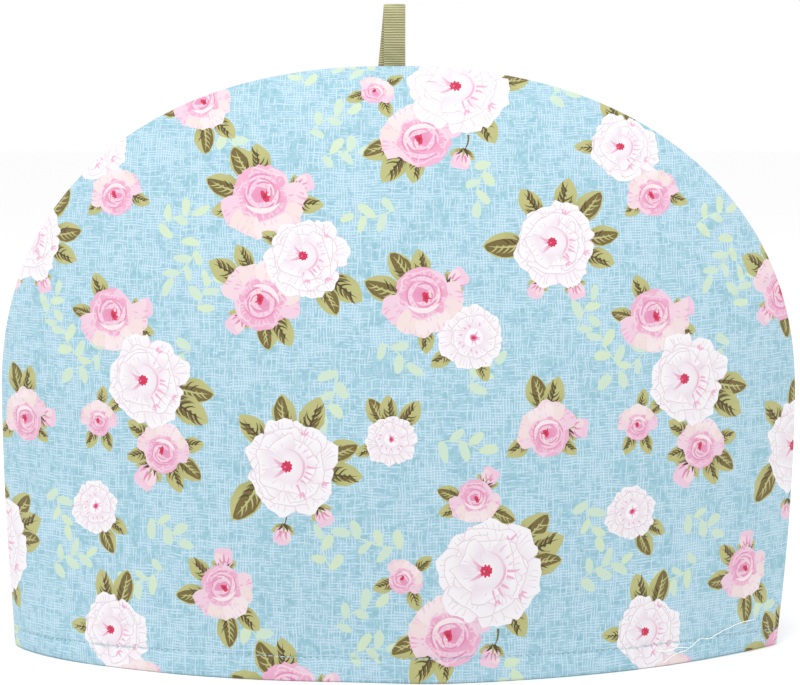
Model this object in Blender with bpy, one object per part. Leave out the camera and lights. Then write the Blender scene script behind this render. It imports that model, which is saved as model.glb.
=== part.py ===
"""Tea cosy: two dome-shaped cloth panels sewn edge to edge, with a ribbon loop in the seam at the top.

Metres, +Z up. The cosy stands on its hem on the plane z = 0. +X runs along its width, -Y is its front.
The origin is on the ground, half way across the width and half way between the two panels.
"""

import math
from dataclasses import dataclass

import bmesh
import bpy
from mathutils import Matrix, Vector

# Outline of the cosy, seen from the front
HALF_WIDTH = 0.160
WIDEST_HEIGHT = 0.102
DOME_HEIGHT = 0.2346
DOME_FULLNESS = 2.22
LEFT_HEM_DRAW = 0.0040
RIGHT_HEM_DRAW = 0.0060
CROWN_LEAN = 0.0022

# Thickness of the cloth wall, and of the turned-in cloth along the seam
WALL = 0.003
SEAM_RIM = 0.005
SEAM_GAP = 0.0003

# Bulge of a panel
PANEL_DEPTH = 0.066
RISE_POWER = 2.0
CROWN_POWER = 0.71
HEM_EVENING_HEIGHT = 0.080

# Soft unevenness of the standing cloth
RIPPLE_DEPTH = 0.0009
RIPPLES_ACROSS = 2.5
RIPPLES_UP = 1.5
CREASE_HEIGHT = 0.208
CREASE_DEPTH = 0.0012
CREASE_HALF_HEIGHT = 0.006
CREASE_CENTRE_X = -0.006
CREASE_HALF_LENGTH = 0.050

# Mesh of a panel
COLUMNS = 34
ROWS = 28
EDGE_CROWDING = 0.45
SHOULDER_ANGLE = math.radians(49)
SHARP_ANGLE = math.radians(40)

# Ribbon loop
RIBBON_WIDTH = 0.0085
RIBBON_THICKNESS = 0.0010
LOOP_TOP = 0.2592
LOOP_X = -0.0015
LOOP_EYE_DEPTH = 0.0054
LOOP_NECK = 0.42
LOOP_BEND = 0.80
LOOP_CROWDING = 0.70
TAIL_LENGTH = 0.0038
TAIL_GAP = 0.0003
BACK_LEG_DRIFT = -0.0023
LOOP_STEPS = 28
TAIL_STEPS = 2

# Slot in the seam that holds the ends of the ribbon
SLOT_CLEARANCE = 0.0003

CLOTH_BLUE = (0.400, 0.640, 0.720, 1.0)
RIBBON_OLIVE = (0.420, 0.400, 0.190, 1.0)


@dataclass(frozen=True)
class Fullness:
    """How quickly a panel turns back to its side seams: a lower power makes a fuller, rounder side."""

    left: float
    right: float
    left_at_hem: float
    right_at_hem: float

    def power(self, across, height):
        """Return the power at a place across (-1 left seam, 1 right seam) and up the panel."""
        raised = min(max(height / HEM_EVENING_HEIGHT, 0.0), 1.0)
        left = self.left_at_hem + (self.left - self.left_at_hem) * raised
        right = self.right_at_hem + (self.right - self.right_at_hem) * raised
        return (left + right) / 2 + (right - left) / 2 * across


FRONT_FULLNESS = Fullness(left=0.86, right=0.84, left_at_hem=0.66, right_at_hem=0.92)
BACK_FULLNESS = Fullness(left=0.84, right=0.86, left_at_hem=0.84, right_at_hem=0.74)


def clear_scene():
    """Remove every object, so that the part starts from nothing."""
    for thing in list(bpy.data.objects):
        bpy.data.objects.remove(thing, do_unlink=True)


def cloth_material(name, colour, roughness):
    """Make a plain material with one colour and one roughness."""
    material = bpy.data.materials.new(name)
    material.use_nodes = True
    shader = material.node_tree.nodes["Principled BSDF"]
    shader.inputs["Base Color"].default_value = colour
    shader.inputs["Roughness"].default_value = roughness
    shader.inputs["Metallic"].default_value = 0.0
    return material


def add_object(name, mesh, material):
    """Put a finished mesh in the scene under its node's name."""
    mesh.materials.append(material)
    mesh.shade_smooth()
    mesh.set_sharp_from_angle(angle=SHARP_ANGLE)
    thing = bpy.data.objects.new(name, mesh)
    bpy.context.scene.collection.objects.link(thing)
    return thing


def seam_x(side, height, inset):
    """Return where a side seam is at a height: side is -1 for left, 1 for right."""
    top = DOME_HEIGHT - inset
    if height >= WIDEST_HEIGHT:
        climb = min((height - WIDEST_HEIGHT) / (top - WIDEST_HEIGHT), 1.0)
        reach = (HALF_WIDTH - inset) * (1 - climb**DOME_FULLNESS) ** (1 / DOME_FULLNESS)
        return side * reach - CROWN_LEAN * climb**2
    drop = (WIDEST_HEIGHT - height) / WIDEST_HEIGHT
    draw = LEFT_HEM_DRAW if side < 0 else RIGHT_HEM_DRAW
    return side * (HALF_WIDTH - inset - draw * drop**2)


def dome_point(angle, inset):
    """Return (x, z) on the dome at an angle from straight up, negative to the left."""
    power = 2 / DOME_FULLNESS
    climb = math.cos(angle) ** power
    reach = math.copysign(abs(math.sin(angle)) ** power, angle)
    x = (HALF_WIDTH - inset) * reach - CROWN_LEAN * climb**2
    z = WIDEST_HEIGHT + (DOME_HEIGHT - inset - WIDEST_HEIGHT) * climb
    return Vector((x, z))


def crowd(value):
    """Draw values from -1 to 1 closer together towards both ends."""
    return (1 - EDGE_CROWDING) * value + EDGE_CROWDING * math.sin(value * math.pi / 2)


def outline_patch(across, up, inset):
    """Return (x, z) inside the outline: across runs from -1 to 1, up from 0 at the hem to 1 at the dome.

    The patch is blended from its four sides: the hem, the two side seams and the dome between the shoulders.
    """
    share = (across + 1) / 2
    shoulder_left = dome_point(-SHOULDER_ANGLE, inset)
    shoulder_right = dome_point(SHOULDER_ANGLE, inset)
    hem_left = Vector((seam_x(-1, 0.0, inset), 0.0))
    hem_right = Vector((seam_x(1, 0.0, inset), 0.0))
    hem = hem_left.lerp(hem_right, share)
    dome = dome_point(SHOULDER_ANGLE * across, inset)
    left_height = shoulder_left.y * up
    right_height = shoulder_right.y * up
    left = Vector((seam_x(-1, left_height, inset), left_height))
    right = Vector((seam_x(1, right_height, inset), right_height))
    sides = left.lerp(right, share)
    ends = hem.lerp(dome, up)
    corners = hem_left.lerp(hem_right, share).lerp(shoulder_left.lerp(shoulder_right, share), up)
    return ends + sides - corners


def panel_depth(x, z, inset, fullness):
    """Return how far a panel stands out from the plane of the seam at (x, z)."""
    left = seam_x(-1, z, inset)
    right = seam_x(1, z, inset)
    half = (right - left) / 2
    if half < SEAM_GAP:
        return 0.0
    across = min(max((x - (left + right) / 2) / half, -1.0), 1.0)
    climb = min(z / (DOME_HEIGHT - inset), 1.0)
    rise = (1 - climb**RISE_POWER) ** CROWN_POWER
    bow = (1 - across * across) ** fullness.power(across, z)
    ripple = math.sin(RIPPLES_ACROSS * math.pi * across) * math.cos(RIPPLES_UP * math.pi * climb)
    from_crease = (z - CREASE_HEIGHT) / CREASE_HALF_HEIGHT
    along_crease = min(abs(x - CREASE_CENTRE_X) / CREASE_HALF_LENGTH, 1.0)
    crease = math.exp(-(from_crease**2)) * (1 - along_crease**2) ** 2
    wall = WALL if inset else 0.0
    full = (PANEL_DEPTH - wall) * rise * bow
    return full + (RIPPLE_DEPTH * ripple * (1 - climb) - CREASE_DEPTH * crease) * bow * (1 - climb**8)


def make_panel(name, side, fullness, material):
    """Make one panel: a flat pad of two layers of grid, each layer then shaped over the cosy.

    The outer layer ends on the seam, the inner layer a rim's width inside it. The strip between them lies
    flat along the seam, and flat on the ground along the hem.
    """
    shape = bmesh.new()
    bmesh.ops.create_grid(shape, x_segments=COLUMNS, y_segments=ROWS, size=1.0)
    pad = bmesh.ops.extrude_face_region(shape, geom=shape.faces[:], use_keep_orig=True)
    inner = {item for item in pad["geom"] if isinstance(item, bmesh.types.BMVert)}
    for vert in shape.verts:
        inset = SEAM_RIM if vert in inner else 0.0
        across = crowd(vert.co.x)
        up = (1 + crowd(vert.co.y)) / 2
        flat = outline_patch(across, up, inset)
        depth = panel_depth(flat.x, flat.y, inset, fullness)
        vert.co = Vector((flat.x, side * (depth + SEAM_GAP / 2), flat.y))
    bmesh.ops.recalc_face_normals(shape, faces=shape.faces[:])
    mesh = bpy.data.meshes.new(name)
    shape.to_mesh(mesh)
    shape.free()
    return add_object(name, mesh, material)


def loop_route():
    """Return the ribbon's middle line in the Y-Z plane, from its front end round the loop to its back end."""
    tail_y = (RIBBON_THICKNESS + TAIL_GAP) / 2
    root = DOME_HEIGHT
    height = LOOP_TOP - RIBBON_THICKNESS / 2 - root
    half_depth = (LOOP_EYE_DEPTH + RIBBON_THICKNESS) / 2
    route = []
    for step in range(TAIL_STEPS):
        route.append(Vector((0.0, -tail_y, root - TAIL_LENGTH * (1 - step / TAIL_STEPS))))
    for step in range(LOOP_STEPS + 1):
        turn = math.pi * step / LOOP_STEPS
        rise = math.sin(turn) ** LOOP_CROWDING
        swell = (1 - math.cos(math.pi * min(rise / LOOP_NECK, 1.0))) / 2
        into_bend = max((rise - LOOP_BEND) / (1 - LOOP_BEND), 0.0)
        y = (tail_y + (half_depth - tail_y) * swell) * math.sqrt(max(1 - into_bend**2, 0.0))
        route.append(Vector((0.0, math.copysign(y, step - LOOP_STEPS / 2), root + height * rise)))
    for step in range(TAIL_STEPS):
        route.append(Vector((0.0, tail_y, root - TAIL_LENGTH * (step + 1) / TAIL_STEPS)))
    return route


def make_ribbon_loop(material):
    """Make the loop: a strip along the route, as wide as the ribbon, thickened to the ribbon's thickness."""
    shape = bmesh.new()
    route = [shape.verts.new(point) for point in loop_route()]
    line = [shape.edges.new(pair) for pair in zip(route, route[1:])]
    strip = bmesh.ops.extrude_edge_only(shape, edges=line)
    far_side = [item for item in strip["geom"] if isinstance(item, bmesh.types.BMVert)]
    bmesh.ops.translate(shape, verts=far_side, vec=Vector((RIBBON_WIDTH, 0.0, 0.0)))
    centre = LOOP_X - RIBBON_WIDTH / 2
    for vert in shape.verts:
        drop = (LOOP_TOP - vert.co.z) / (LOOP_TOP - DOME_HEIGHT)
        drift = BACK_LEG_DRIFT * drop if vert.co.y > 0 else 0.0
        vert.co.x += centre + drift
    bmesh.ops.recalc_face_normals(shape, faces=shape.faces[:])
    mesh = bpy.data.meshes.new("ribbon_loop")
    shape.to_mesh(mesh)
    shape.free()
    loop = add_object("ribbon_loop", mesh, material)
    thicken = loop.modifiers.new("ribbon thickness", "SOLIDIFY")
    thicken.thickness = RIBBON_THICKNESS
    thicken.offset = 0.0
    return loop


def cut_slot(panels):
    """Cut the slot for the ribbon's ends into the seam, half of it in each panel."""
    width = RIBBON_WIDTH + 2 * SLOT_CLEARANCE - BACK_LEG_DRIFT * (1 + TAIL_LENGTH / (LOOP_TOP - DOME_HEIGHT))
    thickness = 2 * RIBBON_THICKNESS + TAIL_GAP + 2 * SLOT_CLEARANCE
    bottom = DOME_HEIGHT - TAIL_LENGTH - SLOT_CLEARANCE
    height = 2 * (DOME_HEIGHT - bottom)
    left_end = LOOP_X + RIBBON_WIDTH / 2 + SLOT_CLEARANCE - width
    middle = Vector((left_end + width / 2, 0.0, bottom + height / 2))
    shape = bmesh.new()
    block = Matrix.Translation(middle) @ Matrix.Diagonal((width, thickness, height, 1.0))
    bmesh.ops.create_cube(shape, size=1.0, matrix=block)
    mesh = bpy.data.meshes.new("slot_cutter")
    shape.to_mesh(mesh)
    shape.free()
    cutter = bpy.data.objects.new("slot_cutter", mesh)
    bpy.context.scene.collection.objects.link(cutter)
    cutter.hide_render = True
    cutter.display_type = "WIRE"
    for panel in panels:
        cut = panel.modifiers.new("ribbon slot", "BOOLEAN")
        cut.operation = "DIFFERENCE"
        cut.solver = "EXACT"
        cut.object = cutter


def main():
    """Build the cosy."""
    clear_scene()
    cloth = cloth_material("rose_cloth", CLOTH_BLUE, 0.9)
    ribbon = cloth_material("olive_ribbon", RIBBON_OLIVE, 0.75)
    front = make_panel("front_panel", -1, FRONT_FULLNESS, cloth)
    back = make_panel("back_panel", 1, BACK_FULLNESS, cloth)
    make_ribbon_loop(ribbon)
    cut_slot([front, back])


main()
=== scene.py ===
"""Tea cosy of rose-print cotton with an olive ribbon loop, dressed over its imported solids.

The cloth is drawn flat first. Its print is a repeat of roses, peonies, buds, leaves and pale sprays, laid
out in millimetres on the cut cloth and cut into the mesh of each panel, which is then shaped over the cosy.
"""

import logging
import math
import random
from dataclasses import dataclass
from enum import Enum
from typing import Iterable, Sequence

import bmesh
import bpy
import numpy as np
from mathutils import Matrix, Vector
from mathutils.bvhtree import BVHTree
from mathutils.geometry import delaunay_2d_cdt


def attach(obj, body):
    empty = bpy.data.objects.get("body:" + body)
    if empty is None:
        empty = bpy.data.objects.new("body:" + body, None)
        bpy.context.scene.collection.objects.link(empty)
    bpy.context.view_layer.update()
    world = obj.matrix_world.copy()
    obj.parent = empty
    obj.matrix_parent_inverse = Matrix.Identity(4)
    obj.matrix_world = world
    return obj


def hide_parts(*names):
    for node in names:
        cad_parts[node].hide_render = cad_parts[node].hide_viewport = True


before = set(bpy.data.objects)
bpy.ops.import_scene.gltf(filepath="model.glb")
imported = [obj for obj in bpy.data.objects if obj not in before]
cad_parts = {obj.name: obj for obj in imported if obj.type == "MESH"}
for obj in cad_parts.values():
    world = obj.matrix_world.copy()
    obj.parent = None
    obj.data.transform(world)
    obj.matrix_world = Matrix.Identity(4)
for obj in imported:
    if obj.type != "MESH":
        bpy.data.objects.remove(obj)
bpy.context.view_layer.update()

LOG = logging.getLogger("tea_cosy")
MM = 0.001
BODY = "root"
CLOTH_SLOT = "rose_cloth"
RIBBON_SLOT = "olive_ribbon"
CLOTH_MAP = "cloth"
BAKE_MAP = "OFBake"
PRINT_LAYER = "print"
# The vertex layer that holds the painted shadow along the groove of the hem's stitches.
GROOVE_SHADOW_LAYER = "groove"
OUTSIDE = -1
CLOTH_WHITENESS = 0.80
STRAIGHT = 0.00002

Array = np.ndarray


def linear(code: str) -> tuple[float, float, float, float]:
    """Turn a screen colour into the linear colour that shaders use.

    Args:
        code: six hexadecimal digits, red, green and blue.

    Returns:
        Red, green, blue and an alpha of 1.
    """
    channels = [int(code[i : i + 2], 16) / 255 for i in (0, 2, 4)]
    r, g, b = (c / 12.92 if c <= 0.04045 else ((c + 0.055) / 1.055) ** 2.4 for c in channels)
    return (r, g, b, 1.0)


def soft_step(distance: Array, softness: float) -> Array:
    """Return a smooth step from 0 to 1 as a distance goes from under to over nought."""
    return (1 + np.tanh(distance / softness / 2)) / 2


class Ink(Enum):
    """The colours that the cloth is printed with, as they look beside its own white."""

    WHITE = "FDFAFE"
    SHADE = "F3E7EF"
    CREAM = "FBECEF"
    BLUSH = "F6DDE4"
    SHELL = "F6E3E0"
    VEIN = "E8D6DE"
    PALE_PINK = "F4D2E4"
    PINK = "F2B5D2"
    DEEP_PINK = "E790B8"
    CRIMSON = "DB2457"
    DARK_CRIMSON = "B0163F"
    LIGHT_OLIVE = "C0BF7E"
    OLIVE = "A9A760"
    DARK_OLIVE = "73632A"
    BARK = "48390C"
    PALE_GREEN = "D2E9D3"
    LIME = "D7EBCC"

    def rgb(self) -> tuple[float, float, float]:
        """Return the ink's linear red, green and blue on the cloth."""
        return seen_on_cloth(self.value)[:3]


def seen_on_cloth(code: str) -> tuple[float, float, float, float]:
    """Return the linear colour of an ink or a dye on cotton, whose own white is less than pure white."""
    r, g, b, _ = linear(code)
    return (r * CLOTH_WHITENESS, g * CLOTH_WHITENESS, b * CLOTH_WHITENESS, 1.0)


def ray(degrees: float) -> complex:
    """Return the direction on the cloth at an angle from across, as a complex number of length 1."""
    return complex(math.cos(math.radians(degrees)), math.sin(math.radians(degrees)))


@dataclass(frozen=True)
class Patch:
    """One area of ink, with its colour fading from one ink to another.

    Places on the cloth are complex numbers in millimetres, across plus up times 1j.
    """

    outline: tuple[complex, ...]
    near: Ink
    far: Ink
    start: complex = 0j
    end: complex = 1j
    round_fade: bool = False

    def moved(self, by: complex) -> "Patch":
        """Return the same patch somewhere else on the cloth."""
        outline = tuple(p + by for p in self.outline)
        return Patch(outline, self.near, self.far, self.start + by, self.end + by, self.round_fade)


class Drawing:
    """The patches of a print in the order in which they are printed, the last one on top."""

    def __init__(self) -> None:
        """Start with a bare cloth."""
        self.patches: list[Patch] = []

    def fill(self, outline: Iterable[complex], ink: Ink) -> None:
        """Add an area of one colour."""
        self.patches.append(Patch(tuple(outline), ink, ink))

    def brush(self, start: complex, end: complex, width: float, ink: Ink, bow: float = 0.0,
              steps: int = 3) -> None:
        """Add a short brush stroke that starts at full width.

        Args:
            start: where the brush touches down.
            end: where it lifts.
            width: its widest in millimetres.
            ink: its ink.
            bow: how far it bends to the left, as a share of its length.
            steps: how many steps it is drawn in.
        """
        self.fill(stroke(start, end, width, bow, True, steps), ink)

    def fade(self, outline: Iterable[complex], near: Ink, far: Ink, start: complex, end: complex) -> None:
        """Add an area that fades along a line."""
        self.patches.append(Patch(tuple(outline), near, far, start, end))

    def glow(self, outline: Iterable[complex], near: Ink, far: Ink, centre: complex, radius: float) -> None:
        """Add an area that fades outwards from a centre."""
        self.patches.append(Patch(tuple(outline), near, far, centre, centre + radius, True))


def blob(centre: complex, radius: float, dice: random.Random, squash: float = 1.0, turn: float = 0.0,
         wobble: float = 0.06, points: int = 14) -> list[complex]:
    """Return a soft round outline.

    Args:
        centre: its middle.
        radius: its mean radius in millimetres.
        dice: the source of its unevenness.
        squash: its width over its length.
        turn: the angle of its length in degrees.
        wobble: how uneven it is, as a share of the radius.
        points: how many points it has.

    Returns:
        The outline, anticlockwise.
    """
    phase = dice.uniform(0, 360)
    other = dice.uniform(0, 360)
    outline = []
    for step in range(points):
        angle = 360 * step / points
        swell = 1 + wobble * (ray(2 * angle + phase).real + 0.7 * ray(3 * angle + other).imag)
        spot = ray(angle) * radius * swell
        outline.append(centre + ray(turn) * complex(spot.real, spot.imag * squash))
    return outline


def petal(base: complex, turn: float, length: float, width: float, dice: random.Random,
          ruffle: float = 0.05, tip_points: int = 7, waist: float = 0.55) -> list[complex]:
    """Return the outline of a fan-shaped petal with a ruffled edge.

    Args:
        base: where the petal grows from.
        turn: the angle it points at, in degrees.
        length: from its base to its edge.
        width: across its widest place.
        dice: the source of its ruffles.
        ruffle: how deep the ruffles are, as a share of the length.
        tip_points: how many points the ruffled edge has.
        waist: the width at a third of the length, as a share of the full width.

    Returns:
        The outline, anticlockwise.
    """
    half = width / 2
    waves = [dice.uniform(0, 2 * math.pi) for _ in range(2)]
    side = ((0.0, 0.14), (0.32, waist), (0.62, 0.94))
    outline = [complex(u, -w * half / length) for u, w in side]
    for step in range(tip_points):
        across = -1 + 2 * step / (tip_points - 1)
        along = 0.80 + 0.20 * math.cos(across * math.pi / 2)
        broad = 0.7 * math.sin(5.3 * across + waves[0])
        fine = 0.5 * math.sin(10.1 * across + waves[1])
        dip = ruffle * (broad + fine - 0.3)
        outline.append(complex(along + dip, math.sin(across * math.pi / 2) * half / length))
    outline += [complex(u, w * half / length) for u, w in reversed(side)]
    return [base + ray(turn) * length * spot for spot in outline]


def trail(line: Sequence[complex], width: float, blunt: bool = False) -> list[complex]:
    """Return the mark of a brush drawn along a line, thinning to nothing at its end.

    Args:
        line: the points that the brush passes.
        width: its widest in millimetres.
        blunt: whether it starts at full width, rather than from a point.

    Returns:
        The outline, anticlockwise.
    """
    last = len(line) - 1
    left = []
    right = []
    for step in range(0 if blunt else 1, last):
        share = step / last
        half = width / 2 * ((1 - share) ** 0.5 if blunt else math.sin(math.pi * share) ** 0.6)
        run = line[step + 1] - line[max(step - 1, 0)]
        side = run / abs(run) * 1j * half
        left.append(line[step] + side)
        right.append(line[step] - side)
    return ([] if blunt else [line[0]]) + right + [line[last]] + left[::-1]


def stroke(start: complex, end: complex, width: float, bow: float = 0.0, blunt: bool = False,
           steps: int = 4) -> list[complex]:
    """Return a short brush stroke, which may bend.

    Args:
        start: where the brush touches down.
        end: where it lifts.
        width: its widest in millimetres.
        bow: how far it bends to the left, as a share of its length.
        blunt: whether it starts at full width.
        steps: how many steps it is drawn in.

    Returns:
        The outline, anticlockwise.
    """
    middle = (start + end) / 2 + (end - start) * 1j * bow * 2
    line = []
    for step in range(steps + 1):
        share = step / steps
        line.append((1 - share) ** 2 * start + 2 * share * (1 - share) * middle + share**2 * end)
    return trail(line, width, blunt)


def crescent(centre: complex, radius: float, thickness: float, bearing: float, span: float,
             steps: int = 7) -> list[complex]:
    """Return a crescent, a petal's edge seen from above.

    Args:
        centre: the centre of its outer arc.
        radius: the radius of its outer arc.
        thickness: its thickness in the middle.
        bearing: the angle of its middle in degrees.
        span: the angle it covers.
        steps: how many steps each arc has.

    Returns:
        The outline, anticlockwise.
    """
    outer = []
    inner = []
    for step in range(steps + 1):
        share = step / steps
        angle = ray(bearing - span / 2 + span * share)
        outer.append(centre + angle * radius)
        inner.append(centre + angle * (radius - thickness * math.sin(math.pi * share) ** 0.8))
    return outer + list(reversed(inner[1:-1]))


def feathers(drawing: Drawing, centre: complex, radius: float, bearing: float, span: float, count: int,
             length: float, width: float, ink: Ink, dice: random.Random) -> None:
    """Print a fan of short strokes along an arc, running out past it where the length is positive.

    Args:
        drawing: where they are added.
        centre: the centre of the arc.
        radius: the radius of the arc.
        bearing: the angle of its middle in degrees.
        span: the angle it covers.
        count: how many strokes there are.
        length: the length of a stroke, negative where it runs inwards.
        width: the width of a stroke.
        ink: their ink.
        dice: the source of their unevenness.
    """
    for number in range(count):
        angle = bearing + span * ((number + dice.uniform(0.2, 0.8)) / count - 0.5)
        start = centre + ray(angle) * radius * dice.uniform(0.96, 1.03)
        end = centre + ray(angle + dice.uniform(-6, 6)) * (radius + length * dice.uniform(0.55, 1.1))
        drawing.brush(start, end, width * dice.uniform(0.7, 1.2), ink, dice.uniform(-0.12, 0.12))


class LeafTone(Enum):
    """How dark a leaf is painted."""

    LIGHT = "light"
    VEINED = "veined"
    DARK = "dark"


@dataclass(frozen=True)
class Leaf:
    """A leaf with a wavy margin, seen flat, from its stalk to its tip."""

    base: complex
    turn: float
    length: float
    tone: LeafTone = LeafTone.VEINED
    plumpness: float = 0.62

    MARGIN = ((0.0, 0.10), (0.10, 0.52), (0.20, 0.80), (0.32, 0.96), (0.44, 1.02), (0.56, 0.98),
              (0.68, 0.86), (0.80, 0.64), (0.90, 0.38))
    VEINS = (0.08, 0.22, 0.36, 0.50, 0.64)
    TOOTH = 0.06
    BRUSHED = {LeafTone.LIGHT: ((1, 3),), LeafTone.VEINED: ((1, 5), (-1, 2))}
    DARK_REACH = 0.84
    DARK_PAST_RIB = (0.30, 0.50)
    STROKE_WIDTH = 0.095
    RIB_WIDTH = 0.055
    VEIN_WIDTH = 0.045
    STALK_WIDTH = 0.05

    def at(self, spot: complex) -> complex:
        """Return the place on the cloth of a place on the leaf, where 1 is the tip."""
        return self.base + ray(self.turn) * self.length * spot

    def edge(self, side: int, dice: random.Random, reach: float = 1.0, first: int = 0) -> list[complex]:
        """Return one side of the wavy margin, from the stalk to the tip.

        Args:
            side: -1 for the right side and 1 for the left one.
            dice: the source of its unevenness.
            reach: how much of the way from the rib to the margin it lies.
            first: the number of its first point.

        Returns:
            Its points on the leaf.
        """
        half = self.plumpness / 2
        return [complex(u, side * w * half * reach * (1 + dice.uniform(-1, 1) * self.TOOTH))
                for u, w in self.MARGIN[first:]]

    def draw(self, drawing: Drawing, dice: random.Random) -> None:
        """Print the leaf: light with dark strokes beside its rib, or mostly dark with its veins left light.

        Args:
            drawing: where it is added.
            dice: the source of its unevenness.
        """
        margin = [*self.edge(-1, dice), 1 + 0j, *reversed(self.edge(1, dice))]
        drawing.fade([self.at(spot) for spot in margin], Ink.OLIVE, Ink.LIGHT_OLIVE, self.at(0j),
                     self.at(0.6 + 0j))
        hand = dice.choice((-1, 1))
        if self.tone is LeafTone.DARK:
            self.darken(drawing, dice, hand)
        else:
            self.brush_sides(drawing, dice, hand)
        self.draw_veins(drawing, dice, hand)

    def darken(self, drawing: Drawing, dice: random.Random, hand: int) -> None:
        """Print the dark area, which covers most of one side and a part of the other.

        Args:
            drawing: where it is added.
            dice: the source of its unevenness.
            hand: the side that it covers, -1 for the right one and 1 for the left one.
        """
        reach = {hand: self.DARK_REACH, -hand: dice.uniform(*self.DARK_PAST_RIB)}
        right = self.edge(-1, dice, reach[-1], 1)
        left = self.edge(1, dice, reach[1], 1)
        area = [0.02 + 0j, *right, 0.95 + 0j, *reversed(left)]
        drawing.fill([self.at(spot) for spot in area], Ink.DARK_OLIVE)

    def brush_sides(self, drawing: Drawing, dice: random.Random, hand: int) -> None:
        """Print the dark strokes beside the rib.

        Args:
            drawing: where they are added.
            dice: the source of their unevenness.
            hand: the side that has more of them, -1 for the right one and 1 for the left one.
        """
        half = self.plumpness / 2
        for side, count in self.BRUSHED[self.tone]:
            for foot in self.VEINS[:count]:
                spread = 0.80 * half * (1 - 0.55 * foot) * dice.uniform(0.75, 1.1)
                tip = complex(foot + 0.27 + dice.uniform(-0.04, 0.04), side * hand * spread)
                width = self.STROKE_WIDTH * self.length * dice.uniform(0.75, 1.15)
                drawing.brush(self.at(complex(foot - 0.04, 0.0)), self.at(tip), width, Ink.DARK_OLIVE,
                              side * hand * 0.14)

    def draw_veins(self, drawing: Drawing, dice: random.Random, hand: int) -> None:
        """Print the rib, the side veins and the stalk.

        Args:
            drawing: where they are added.
            dice: the source of their unevenness.
            hand: the side that has more veins, -1 for the right one and 1 for the left one.
        """
        half = self.plumpness / 2
        dark = self.tone is LeafTone.DARK
        rib = Ink.LIGHT_OLIVE if dark else Ink.BARK
        drawing.brush(self.at(0.03 + 0j), self.at(0.88 + 0j), self.RIB_WIDTH * self.length, rib,
                      hand * 0.05, 4)
        for side in (-1, 1):
            for foot in self.VEINS[: 5 if side == hand else 3]:
                tip = complex(foot + 0.21, side * 0.80 * half * (1 - foot * 0.5) * dice.uniform(0.6, 1.1))
                ink = Ink.LIGHT_OLIVE if dark and side == hand else Ink.BARK
                drawing.brush(self.at(foot + 0j), self.at(tip), self.VEIN_WIDTH * self.length, ink,
                              side * 0.12)
        drawing.brush(self.at(-0.05 + 0j), self.at(0.22 + 0j), self.STALK_WIDTH * self.length, Ink.BARK)


@dataclass(frozen=True)
class Bud:
    """A closed rosebud held in its sepals."""

    at: complex
    turn: float
    size: float

    def draw(self, drawing: Drawing, dice: random.Random) -> None:
        """Print the bud.

        Args:
            drawing: where it is added.
            dice: the source of its unevenness.
        """
        way = ray(self.turn)
        size = self.size
        foot = self.at - way * size * 0.42
        drawing.brush(foot - way * size * 0.75, foot + way * size * 0.1, 0.10 * size, Ink.DARK_OLIVE,
                      0.1, 4)
        for lean in (-52, 56):
            Leaf(foot, self.turn + lean, size * 0.70, LeafTone.LIGHT, 0.55).draw(drawing, dice)
        drawing.fade(petal(foot, self.turn, size, size * 0.86, dice, 0.04, 5, 0.9), Ink.PINK, Ink.PALE_PINK,
                     foot, foot + way * size)
        drawing.fill(petal(foot, self.turn + 22, size * 0.86, size * 0.42, dice, 0.05, 3, 0.8), Ink.BLUSH)
        drawing.fill(petal(foot, self.turn - 20, size * 0.78, size * 0.34, dice, 0.05, 3, 0.8),
                     Ink.PALE_PINK)
        feathers(drawing, foot, size * 0.34, self.turn, 70, 3, size * 0.42, 0.11 * size,
                 Ink.DEEP_PINK, dice)
        for lean in (-40, 4, 38):
            tip = foot + ray(self.turn + lean) * size * 0.44
            ink = Ink.OLIVE if lean == 4 else Ink.BARK
            drawing.brush(foot - way * size * 0.05, tip, 0.15 * size, ink, 0.05)


@dataclass(frozen=True)
class Spray:
    """A pale twig with small oval leaflets, printed faintly behind the flowers."""

    base: complex
    turn: float
    length: float
    leaflets: int = 5
    bend: float = 0.12

    def draw(self, drawing: Drawing, dice: random.Random) -> None:
        """Print the spray.

        Args:
            drawing: where it is added.
            dice: the source of its unevenness.
        """
        way = ray(self.turn) * self.length
        drawing.fill(stroke(self.base, self.base + way, 0.7, self.bend), Ink.PALE_GREEN)
        for count in range(self.leaflets):
            share = 0.12 + 0.84 * count / max(self.leaflets - 1, 1)
            hand = 1 if count % 2 else -1
            foot = self.base + way * complex(share, 4 * self.bend * share * (1 - share))
            lean = 10 if count == self.leaflets - 1 else hand * dice.uniform(45, 68)
            size = dice.uniform(2.9, 4.1)
            middle = foot + ray(self.turn + lean) * size * 0.95
            ink = dice.choice((Ink.PALE_GREEN, Ink.LIME))
            drawing.fill(blob(middle, size, dice, 0.50, self.turn + lean, 0.10, 10), ink)


@dataclass(frozen=True)
class Tucked:
    """A leaf or a bud tucked behind a flower, placed by its bearing from the flower's middle."""

    bearing: float
    size: float
    tone: LeafTone | None = LeafTone.VEINED
    lean: float = 0.0
    reach: float = 0.36


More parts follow.
